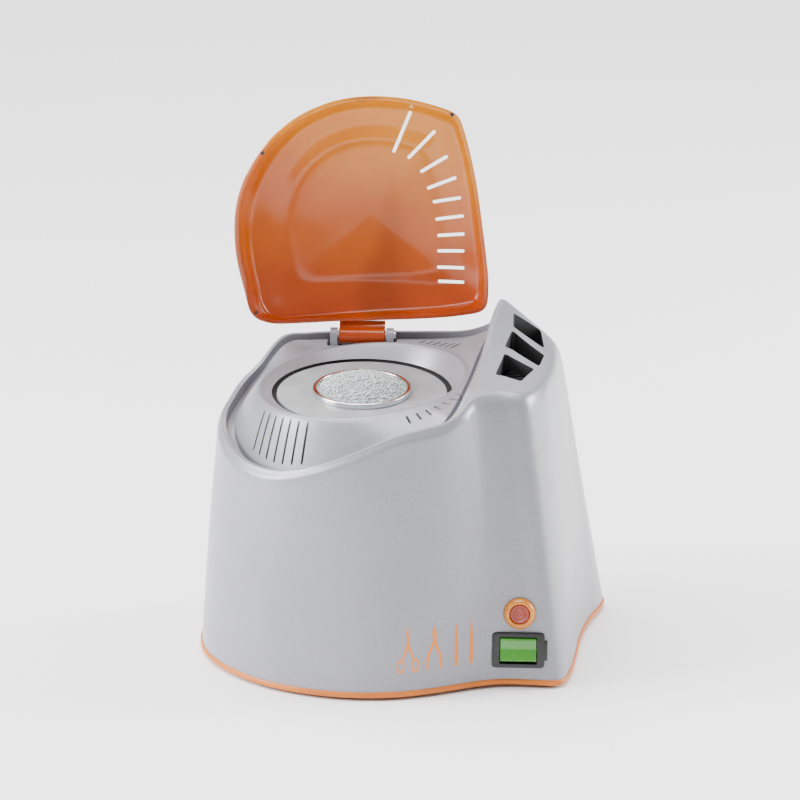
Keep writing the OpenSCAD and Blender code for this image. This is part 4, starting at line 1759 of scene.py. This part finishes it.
class BeadBed:
    """Geometry Nodes tree that beds beads on a domed heap."""

    def __init__(self, material: bpy.types.Material) -> None:
        """Builds the tree: scattered points that keep apart, a bead of its own size on each.

        Args:
            material: Material to use.
        """
        g = Grower("bead_bed")
        spacing = g.number("Spacing", 0.0012)
        smallest, largest = g.number("Smallest Radius", 0.0005), g.number("Largest Radius", 0.0008)
        sink = g.number("Sink", 0.0003)
        points = g.node("GeometryNodeDistributePointsOnFaces", {"distribute_method": "POISSON"}, {
            "Mesh": g.source.outputs[0], "Distance Min": spacing, "Density Max": 4000000.0, "Seed": 7})
        jitter = g.node("FunctionNodeRandomValue", {"data_type": "FLOAT"},
                        {"Min": g.math("MULTIPLY", sink, -1.0), "Max": sink, "Seed": 11})
        lift = g.node("ShaderNodeVectorMath", {"operation": "SCALE"},
                      {0: points.outputs["Normal"], "Scale": jitter.outputs["Value"]})
        moved = g.node("GeometryNodeSetPosition", {},
                       {"Geometry": points.outputs[0], "Offset": lift.outputs[0]})
        bead = g.node("GeometryNodeMeshUVSphere", {}, {"Segments": 8, "Rings": 6, "Radius": 1.0})
        soft = g.node("GeometryNodeSetShadeSmooth", {},
                      {"Geometry": bead.outputs["Mesh"], "Shade Smooth": True})
        turn = g.node("FunctionNodeRandomValue", {"data_type": "FLOAT_VECTOR"},
                      {"Min": (0.0, 0.0, 0.0), "Max": (6.28, 6.28, 6.28), "Seed": 5})
        size = g.node("FunctionNodeRandomValue", {"data_type": "FLOAT"},
                      {"Min": smallest, "Max": largest, "Seed": 3})
        bed = g.node("GeometryNodeInstanceOnPoints", {}, {
            "Points": moved.outputs[0], "Instance": soft.outputs[0], "Rotation": turn.outputs["Value"],
            "Scale": size.outputs["Value"]})
        g.finish(bed.outputs[0], material)
        self.grower = g


@dataclass
class Well:
    """The heated well: plate, chrome collar and cup, gasket and the heap of beads."""

    layout: Layout
    plate: bpy.types.Material
    chrome: bpy.types.Material
    gasket: bpy.types.Material
    beads: bpy.types.Material
    plate_r: float = 42.6
    plate_t: float = 1.5
    cup_r: float = 22.6
    cup_t: float = 1.4
    cup_h: float = 62.0

    def dome(self, radius: float) -> float:
        """Gives the height of the heap at a radius.

        Args:
            radius: Radius in millimetres.

        Returns:
            The height.
        """
        return -27.5 + math.sqrt(37.0**2 - radius**2)

    def build(self, kit: Kit) -> None:
        """Builds the four pieces.

        Args:
            kit: Kit that takes the pieces.
        """
        at, r1 = self.layout.well(), self.cup_r + self.cup_t
        low, high = -1.0, self.plate_t - 1.0
        hole = r1 + 0.15
        plate = Mesher.lathe("well_plate_disc", [
            (hole, low + 0.2), (hole + 0.2, low), (self.plate_r - 0.3, low), (self.plate_r, low + 0.3),
            (self.plate_r, high - 0.35), (self.plate_r - 0.12, high - 0.1), (self.plate_r - 0.4, high),
            (hole + 0.2, high), (hole, high - 0.2)], at, 192)
        Mesher.smooth(plate, 30)
        kit.add(plate, Body.BASE, "plate_steel", "well_plate", materials=[self.plate])
        ri, h, t = self.cup_r, self.cup_h, self.cup_t
        cup = Mesher.lathe("bead_cup_collar", [
            (0, -h), (r1 - 2, -h), (r1 - 0.6, -h + 0.5), (r1, -h + 2), (r1, 0.6), (r1 + 0.7, 0.62),
            (r1 + 0.88, 0.8), (r1 + 0.9, 2.6), (r1 + 0.75, 2.95), (r1 + 0.4, 3.25), (r1 - 0.1, 3.3),
            (ri + 0.35, 3.28), (ri + 0.1, 3.1),
            (ri, 2.8), (ri, -h + t + 2), (ri - 0.6, -h + t + 0.5), (ri - 2, -h + t), (0, -h + t)], at, 160)
        Mesher.smooth(cup, 40)
        kit.add(cup, Body.BASE, "cup_chrome", "bead_cup", materials=[self.chrome])
        seal = Mesher.lathe("well_gasket", [
            (42.9, -1.06), (47.8, -1.06), (48.0, -0.9), (48.0, 0.2), (47.8, 0.35), (46.0, 0.35), (45.8, 0.2),
            (45.7, -0.7), (45.5, -0.86), (43.1, -0.86), (42.9, -0.95)], at, 128)
        Mesher.smooth(seal, 40)
        kit.add(seal, Body.BASE, "inner_black", materials=[self.gasket])
        self.heap(kit, at)

    def heap(self, kit: Kit, at: Matrix) -> None:
        """Builds the bed of beads with loose beads over its surface.

        Args:
            kit: Kit that takes the pieces.
            at: Matrix of the well.
        """
        rim = self.cup_r - 0.1
        floor = self.cup_t - self.cup_h + 0.1
        profile = [(0, floor), (rim, floor), (rim, self.dome(rim) - 0.9)]
        profile += [(rim * k / 16, self.dome(rim * k / 16) - 0.9) for k in range(15, -1, -1)]
        bed = Mesher.lathe("bead_bed_core", profile, at, 96)
        Mesher.smooth(bed, 50)
        kit.add(bed, Body.BASE, "bead_glass", "quartz_beads", materials=[self.beads])
        top = [(rim * k / 16, self.dome(rim * k / 16) - 0.5) for k in range(16, -1, -1)]
        ground = Mesher.lathe("heap_top", top, at, 96)
        mesh = ground.data
        bpy.data.objects.remove(ground)
        loose = BeadBed(self.beads).grower.grow("bead_heap", mesh, Spacing=0.00115, Smallest_Radius=0.00052,
                                                Largest_Radius=0.00082, Sink=0.00035)
        kit.add(loose, Body.BASE, "bead_glass")


@dataclass
class SwitchGroup:
    """The rocker switch: bezel with a side tab and the green rocker, which has a painted glow."""

    layout: Layout
    black: bpy.types.Material
    green: bpy.types.Material
    at: tuple[float, float] = (80.0, 19.5)

    def build(self, kit: Kit) -> None:
        """Builds the bezel and the rocker.

        Args:
            kit: Kit that takes the pieces.
        """
        face = self.layout.face(*self.at)

        obj = Mesher.slab("switch_bezel", face, rectangle(25.5, 17.5, 1.8), 0.2, 2.1)
        Mesher.join(obj, Mesher.block("tab", face, (12.0, -5, 0.22), (14.3, 5, 1.4)))
        Mesher.join(obj, Mesher.slab("sleeve", face, rectangle(21, 15.8, 0.4), -20, 1.0))
        Mesher.round_edges(obj, 0.45, 3, 50)
        Mesher.freeze(obj)

        level = Matrix.Rotation(math.pi / 2, 4, "Y")
        Mesher.cut(obj, [
            Mesher.slab("cut_well", face, rectangle(18.4, 13.8, 0.5), -18.5, 12),
            Mesher.bar("cut_pivot", face, 1.25, -10, 10, Matrix.Translation((0, 0, -0.5)) @ level, 32)])
        Mesher.smooth(obj, 35)
        kit.add(obj, Body.BASE, "switch_black", "switch_frame", materials=[self.black])
        turned = face @ Matrix.Translation((0, 0, -0.5)) @ Matrix.Rotation(math.radians(-10), 4, "X")
        half = 8.8
        turns = np.linspace(math.radians(205), math.radians(335), 17)
        arc = [(6.5 * math.cos(a), 6.5 * math.sin(a)) for a in turns]
        top = [(5.72, 3.1), (5.1, 3.95), (4.4, 3.9), (2.2, 3.4), (0.6, 3.08), (0, 3.0), (-0.6, 3.08),
               (-2.2, 3.4), (-4.4, 3.9), (-5.1, 3.95), (-5.72, 3.1)]

        key = Mesher.slab("switch_rocker_key", turned, arc + top, -half, half, LENGTHWISE)
        Mesher.join(key, Mesher.bar("pin", turned, 1.2, -9.9, 9.9, level, 32))
        Mesher.join(key, Mesher.block("stem", turned, (-3, -1.5, -9), (3, 1.5, -2)))
        Mesher.round_edges(key, 0.35, 3, 40)
        Mesher.smooth(Mesher.freeze(key), 35)
        kit.add(key, Body.ROCKER, "rocker_green", "switch_rocker", materials=[self.green])


@dataclass
class LampGroup:
    """The pilot lamp: amber bezel ring and a dark faceted lens."""

    layout: Layout
    amber: bpy.types.Material
    red: bpy.types.Material
    at: tuple[float, float] = (80.5, 38.0)

    def build(self, kit: Kit) -> None:
        """Builds the ring and the lens.

        Args:
            kit: Kit that takes the pieces.
        """
        face = self.layout.face(*self.at)
        ring = Mesher.lathe("lamp_ring", [
            (4.4, -18), (5.5, -18), (5.5, 0.2), (7.6, 0.2), (7.85, 0.35), (7.9, 0.8), (7.75, 1.5),
            (7.3, 2.4), (6.7, 3.1), (6.2, 3.5), (5.7, 3.5), (5.25, 3.3), (5.1, 3.0), (5.1, 1.3),
            (4.4, 1.2)], face, 96)
        Mesher.smooth(ring, 40)
        kit.add(ring, Body.BASE, "lamp_amber", "lamp_bezel", materials=[self.amber])
        lens = Mesher.lathe("lamp_jewel", [
            (0, -12), (2.6, -12), (2.6, 1.3), (4.8, 1.3), (5.0, 1.45), (5.0, 2.3), (4.5, 2.75), (3.5, 2.78),
            (3.2, 2.5), (2.5, 2.5), (2.2, 2.8), (1.3, 2.8), (1.0, 2.5), (0, 2.45)], face, 24)
        Mesher.smooth(lens, 25)
        kit.add(lens, Body.BASE, "lamp_red", "lamp_lens", materials=[self.red])


@dataclass
class RearInlet:
    """The mains inlet on the rear wall."""

    layout: Layout
    black: bpy.types.Material

    def build(self, kit: Kit) -> None:
        """Builds the inlet body with its flange and socket.

        Args:
            kit: Kit that takes the pieces.
        """
        at = self.layout.inlet()
        flange = rounded([(-25, -4), (-13, -11.25), (13, -11.25), (25, -4), (25, 4), (13, 11.25),
                          (-13, 11.25), (-25, 4)], 3.5)
        throat = rounded([(-12.2, -8.3), (12.2, -8.3), (12.2, 4), (8, 8.3), (-8, 8.3), (-12.2, 4)], 1.2)

        obj = Mesher.join(Mesher.slab("inlet_body", at, flange, 0.05, 3),
                          Mesher.slab("body", at, rectangle(27.4, 20, 0.8), -20, 1))
        Mesher.round_edges(obj, 0.6, 3, 50)
        Mesher.freeze(obj)

        tools = [Mesher.slab("cut_socket", at, throat, -15.5, 15)]
        for side in (-20, 20):
            aside = Matrix.Translation((side, 0, 0))
            tools.append(Mesher.bar("cut_screw", at, 1.7, -2, 6, aside, 32))
            tools.append(Mesher.bar("cut_sink", at, 3.3, 1.2, 6, aside))

        def pins(bm: bmesh.types.BMesh) -> None:
            """Adds the slots of the three contacts.

            Args:
                bm: Mesh that takes the shape.
            """
            for x in (-7, 0, 7):
                y = 0.5 if x == 0 else -3.5
                Mesher.box(bm, (x - 1, y, -25), (x + 1, y + 4, -13))
        tools.append(Mesher.shape("cut_pins", at, pins))
        Mesher.cut(obj, tools)
        Mesher.smooth(obj, 35)
        kit.add(obj, Body.BASE, "switch_black", "inlet", materials=[self.black])


@dataclass
class HingeSet:
    """The bracket under the lid tongue: a cradle with two cheeks, bored for the pin and two screws."""

    layout: Layout
    shell: bpy.types.Material

    def build(self, kit: Kit) -> None:
        """Builds the bracket.

        Args:
            kit: Kit that takes the pieces.
        """
        x, y, z = self.layout.hinge
        place = self.layout.place()

        obj = Mesher.block("hinge_cradle", place, (x - 31, 54.5, 135.4), (x + 31, 67.5, 137.8))
        profile = [(-4.2, -11)] + [(4.2 * math.cos(a), 4.2 * math.sin(a))
                                   for a in np.linspace(math.pi, 0, 17)] + [(4.2, -11)]
        across = Matrix.Translation((x, y, z)) @ LENGTHWISE
        for side in (-14.5, 14.5):
            Mesher.join(obj, Mesher.slab("cheek", place, profile, side - 1.9, side + 1.9, across))
        holes = [Mesher.bar("cut_bores", place, 2.0, -20, 20, across)]
        for side in (-25, 25):
            aside = Matrix.Translation((x + side, 63, 0))
            holes.append(Mesher.bar("cut_screw", place, 1.6, 130, 150, aside, 32))
        Mesher.cut(obj, holes)
        Mesher.smooth(obj, 30)
        kit.add(obj, Body.BASE, "shell_grey", "hinge_bracket", materials=[self.shell])


@dataclass
class Prints:
    """The thin printed signs of the tools that the well takes, low on the front."""

    layout: Layout
    ink: bpy.types.Material
    low: float = 14.0
    high: float = 36.0
    lift: float = 0.05
    scissors_x: float = 26.3
    nippers_x: float = 39.0
    files_x: tuple[float, float] = (49.7, 56.9)

    @staticmethod
    def stroke(points: Sequence[Sequence[float]], widths: Sequence[float],
               pieces: int = 8) -> list[list[Vector]]:
        """Gives rows of two side points along a line of changing width.

        Args:
            points: Points of the line.
            widths: Width at each point.
            pieces: Steps along each stretch.

        Returns:
            The rows.
        """
        rows: list[list[Vector]] = []
        for (p, q), (w1, w2) in zip(zip(points, points[1:]), zip(widths, widths[1:])):
            a, b = Vector(p), Vector(q)
            side = Vector((a.y - b.y, b.x - a.x)).normalized()
            for k in range(pieces + 1):
                spot, half = a.lerp(b, k / pieces), (w1 + (w2 - w1) * k / pieces) / 2
                rows.append([spot + side * half, spot - side * half])
        return rows

    @staticmethod
    def loop(centre: Sequence[float], radii: Sequence[float], width: float,
             steps: int = 28) -> list[list[Vector]]:
        """Gives rows of two side points round an oval.

        Args:
            centre: Middle of the oval.
            radii: Half width and half height.
            width: Width of the line.
            steps: Steps round the oval.

        Returns:
            The rows.
        """
        rows = []
        for k in range(steps + 1):
            angle = math.tau * k / steps
            ray = Vector((math.cos(angle) * radii[0], math.sin(angle) * radii[1]))
            half = width / radii[0] / 2
            rows.append([Vector(centre) + ray * (1 + half), Vector(centre) + ray * (1 - half)])
        return rows

    def signs(self) -> dict[str, list[list[list[Vector]]]]:
        """Gives the strokes of each sign, in millimetres across and up.

        Returns:
            Strokes by sign name.
        """
        lo, hi, s, n = self.low, self.high, self.scissors_x, self.nippers_x
        cross = (lo + hi) / 2 + 1.0
        scissors = [
            self.stroke([(s - 0.9, hi), (s + 0.6, cross), (s + 3.0, lo + 6.0)], [0.4, 1.3, 0.8]),
            self.stroke([(s + 0.9, hi), (s - 0.6, cross), (s - 3.0, lo + 6.0)], [0.4, 1.3, 0.8]),
            self.loop((s + 3.6, lo + 3.2), (1.7, 2.9), 0.7), self.loop((s - 3.6, lo + 3.2), (1.7, 2.9), 0.7)]
        nippers = [
            self.stroke([(n, hi), (n, hi - 3.4), (n + 0.5, cross + 1.5)], [0.5, 2.2, 1.4]),
            self.stroke([(n + 0.3, cross + 2.4), (n + 3.2, lo + 6), (n + 3.3, lo)], [1.4, 1.3, 0.9]),
            self.stroke([(n - 0.3, cross + 2.4), (n - 3.2, lo + 6), (n - 3.3, lo)], [1.4, 1.3, 0.9])]
        out = {"sign_scissors": scissors, "sign_nippers": nippers}
        for k, x in enumerate(self.files_x):
            out[f"sign_file_{k + 1}"] = [self.stroke([(x, hi - 0.4), (x, hi - 6), (x, lo + 3), (x, lo)],
                                                     [0.7, 1.4, 1.9, 1.0])]
        return out

    def build(self, kit: Kit, wall: bpy.types.Object) -> None:
        """Lays every sign on the front wall.

        Args:
            kit: Kit that takes the pieces.
            wall: Housing that the signs lie on.
        """
        graph = bpy.context.evaluated_depsgraph_get()
        tree = BVHTree.FromObject(wall, graph)
        place = self.layout.place()
        for name, strokes in self.signs().items():
            bm = bmesh.new()
            for rows in strokes:
                levels: list[list[list[bmesh.types.BMVert]]] = []
                for depth in (self.lift, 0.01):
                    level = []
                    for row in rows:
                        pair = []
                        for spot in row:
                            start = place @ Vector((spot.x, -200, spot.y))
                            hit, normal, _, _ = tree.ray_cast(start, Vector((0, 1, 0)))
                            pair.append(bm.verts.new(hit + normal * depth * MM))
                        level.append(pair)
                    levels.append(level)
                top, under = levels
                last = len(rows) - 1
                for i in range(last):
                    bm.faces.new((top[i][0], top[i][1], top[i + 1][1], top[i + 1][0]))
                    bm.faces.new((under[i][0], under[i + 1][0], under[i + 1][1], under[i][1]))
                    bm.faces.new((top[i][0], top[i + 1][0], under[i + 1][0], under[i][0]))
                    bm.faces.new((top[i][1], under[i][1], under[i + 1][1], top[i + 1][1]))
                for i, order in ((0, 1), (last, -1)):
                    bm.faces.new((top[i][0], under[i][0], under[i][1], top[i][1])[::order])
            bmesh.ops.recalc_face_normals(bm, faces=bm.faces)
            mesh = bpy.data.meshes.new(name)
            bm.to_mesh(mesh)
            bm.free()
            kit.add(Mesher.link(mesh, name), Body.BASE, "trim_orange", materials=[self.ink])


@dataclass
class Studio:
    """Floor, soft lights and the camera."""

    layout: Layout
    aim: tuple[float, float, float] = (0.0, 0.0, 142.0)
    azimuth: float = 3.0
    elevation: float = 16.0
    distance: float = 1600.0
    lens: float = 144.0
    shift: tuple[float, float] = (0.0475, -0.0275)
    world: float = 0.6
    lamps: tuple[tuple[str, tuple[float, float, float], float, float], ...] = (
        ("key", (-1.3, -0.3, 0.7), 0.7, 44.0), ("side", (1.4, 0.35, 0.6), 0.7, 40.0),
        ("back", (0.3, 1.4, 1.2), 1.0, 4.0))
    """Name, place, side and power of each square light."""

    def camera(self) -> None:
        """Makes the camera."""
        a, e = math.radians(self.azimuth), math.radians(self.elevation)
        view = Vector((-math.sin(a) * math.cos(e), math.cos(a) * math.cos(e), -math.sin(e)))
        right = Vector((math.cos(a), math.sin(a), 0))
        up = right.cross(view)
        data = bpy.data.cameras.new("camera")
        data.lens, data.sensor_width, data.clip_end = self.lens, 36.0, 20.0
        data.shift_x, data.shift_y = self.shift
        cam = bpy.data.objects.new("camera", data)
        bpy.context.scene.collection.objects.link(cam)
        spot = self.layout.place() @ (Vector(self.aim) - view * self.distance)
        turn = Matrix((right, up, -view)).transposed().to_4x4()
        cam.matrix_world = Matrix.Translation(spot) @ turn
        bpy.context.scene.camera = cam

    def light(self, name: str, place: Sequence[float], size: float, power: float) -> None:
        """Makes a square soft light aimed at the object.

        Args:
            name: Name of the light.
            place: Place in metres.
            size: Side in metres.
            power: Power in watts.
        """
        data = bpy.data.lights.new(name, "AREA")
        data.size, data.energy = size, power
        obj = bpy.data.objects.new(name, data)
        bpy.context.scene.collection.objects.link(obj)
        spot = Vector(place)
        ray = spot - Vector((0, 0, 0.12))
        obj.matrix_world = Matrix.Translation(spot) @ ray.to_track_quat("Z", "Y").to_matrix().to_4x4()

    def sky(self, name: str, towards: Sequence[float], spread: float, power: float) -> None:
        """Makes an even, very soft light from far away.

        Args:
            name: Name of the light.
            towards: Direction from the object to the light.
            spread: Angle the light covers, in degrees.
            power: Strength on a surface that faces it.
        """
        data = bpy.data.lights.new(name, "SUN")
        data.angle, data.energy = math.radians(spread), power
        obj = bpy.data.objects.new(name, data)
        bpy.context.scene.collection.objects.link(obj)
        obj.matrix_world = Vector(towards).to_track_quat("Z", "Y").to_matrix().to_4x4()

    def build(self) -> None:
        """Makes floor, world, lights and camera."""
        bm = bmesh.new()
        bmesh.ops.create_grid(bm, x_segments=1, y_segments=1, size=4)
        mesh = bpy.data.meshes.new("floor")
        bm.to_mesh(mesh)
        bm.free()
        floor = Mesher.link(mesh, "floor")
        s = Shader("floor_white")
        soft = s.noise(s.coordinates(), 3.0, 2.0)
        pale = s.colour(soft, (0.92, 0.92, 0.92), (0.95, 0.95, 0.95))
        mesh.materials.append(s.set(Base_Color=pale, Roughness=0.75))
        world = bpy.data.worlds.new("studio")
        world.use_nodes = True
        world.node_tree.nodes["Background"].inputs[0].default_value = (1.0, 1.0, 1.0, 1.0)
        world.node_tree.nodes["Background"].inputs[1].default_value = self.world
        bpy.context.scene.world = world
        for name, place, size, power in self.lamps:
            self.light(name, place, size, power)
        self.sky("overhead", (-0.25, 0.1, 1.0), 60.0, 6.0)
        self.camera()


def finishes() -> dict[str, bpy.types.Material]:
    """Makes every finish once, by name.

    Returns:
        Materials by name.
    """
    lay = LAYOUT
    centre = (lay.drum[0] * MM, lay.drum[1] * MM, lay.well_z * MM)
    made = [
        MouldedShell(), AmberShell(), BeadGlass(),
        Plastic("orange_trim", (0.58, 0.14, 0.001), 0.42),
        # The signs carry a faint painted glow over their orange print.
        Plastic("sign_ink", (0.72, 0.19, 0.004), 0.5, painted_glow=0.15),
        # Black plastic, also the painted shade inside the housing.
        Plastic("inner_black", (0.012, 0.012, 0.013), 0.6),
        Plastic("rubber", (0.02, 0.02, 0.02), 0.8, grain=500.0),
        Plastic("switch_black", (0.005, 0.005, 0.005), 0.42),
        Plastic("phenolic_brown", (0.16, 0.06, 0.03), 0.45),
        # The rocker is not lit; its emission is a painted glow.
        Plastic("rocker_green", (0.04, 0.22, 0.018), 0.25, 0.3, painted_glow=0.2),
        # The lamp is off: the emission on its ring and dark lens is a painted glow.
        Plastic("lamp_amber", (0.62, 0.20, 0.002), 0.2, 0.3, painted_glow=0.12, clear=0.15),
        Plastic("lamp_red", (0.24, 0.016, 0.002), 0.15, 0.15, painted_glow=0.3),
        Plastic("block_white", (0.78, 0.76, 0.68), 0.5),
        Plastic("jacket_brown", (0.16, 0.06, 0.02), 0.4), Plastic("jacket_blue", (0.03, 0.08, 0.4), 0.4),
        Plastic("jacket_green", (0.2, 0.5, 0.05), 0.4), Plastic("jacket_grey", (0.3, 0.3, 0.3), 0.4),
        Fibre("sleeve_white", (0.78, 0.77, 0.72)), Fibre("felt", (0.66, 0.6, 0.48)),
        Fibre("gasket_black", (0.015, 0.015, 0.015)),
        Metal("zinc", (0.62, 0.63, 0.65), 0.32),
        Metal("plate_steel", (0.36, 0.38, 0.40), 0.5, Brushing.ROUND, centre, (math.radians(-5), 0, 0),
              0.3),
        Metal("chrome", (0.80, 0.82, 0.84), 0.2),
        Metal("brass", (0.62, 0.44, 0.18), 0.3),
        Metal("can_sheet", (0.5, 0.51, 0.52), 0.36, Brushing.LONG),
    ]
    return {finish.name: finish.build() for finish in made}


DRESSED: dict[str, str] = {
    "base_plate": "inner_black", "feet": "rubber", "base_screws": "zinc", "vent_screen": "inner_black",
    "lid_buffers": "rubber", "hinge_pin": "zinc", "hinge_screws": "zinc", "heater_band": "brass",
    "heater_clamp": "zinc", "insulation": "felt", "heater_can": "can_sheet", "can_legs": "zinc",
    "can_screws": "zinc", "thermostat": "phenolic_brown", "thermostat_bracket": "zinc",
    "thermal_fuse": "phenolic_brown", "switch_terminals": "brass", "lamp_nut": "inner_black",
    "inlet_pins": "brass", "inlet_screws": "zinc", "terminal_block": "block_white",
    "terminal_screws": "zinc", "earth_stud": "zinc", "wire_live": "jacket_brown",
    "wire_neutral": "jacket_blue",
    "wire_earth": "jacket_green", "heater_leads": "sleeve_white", "lamp_leads": "jacket_grey",
}
"""Frame nodes that keep their shape, and the finish of each."""


def main() -> None:
    """Builds every sub-assembly in order."""
    logging.basicConfig(level=logging.INFO, format="%(name)s: %(message)s")
    Studio(LAYOUT).build()
    finish = finishes()
    kit = Kit()
    skin = Skin(LAYOUT)
    shell = Housing(LAYOUT, skin, finish["silver_shell"], finish["inner_black"]).build(kit)
    Prints(LAYOUT, finish["sign_ink"]).build(kit, shell)
    BaseTrim(LAYOUT, skin, finish["orange_trim"]).build(kit)
    Lid(LAYOUT, finish["amber_shell"]).build(kit)
    HingeSet(LAYOUT, finish["silver_shell"]).build(kit)
    Well(LAYOUT, finish["plate_steel"], finish["chrome"], finish["gasket_black"],
         finish["bead_glass"]).build(kit)
    SwitchGroup(LAYOUT, finish["switch_black"], finish["rocker_green"]).build(kit)
    LampGroup(LAYOUT, finish["lamp_amber"], finish["lamp_red"]).build(kit)
    RearInlet(LAYOUT, finish["switch_black"]).build(kit)
    for node, name in DRESSED.items():
        kit.dress(node, finish[name])
    LOG.info("%d pieces made, %d nodes dressed", kit.count, len(DRESSED))


if __name__ == "__main__":
    main()
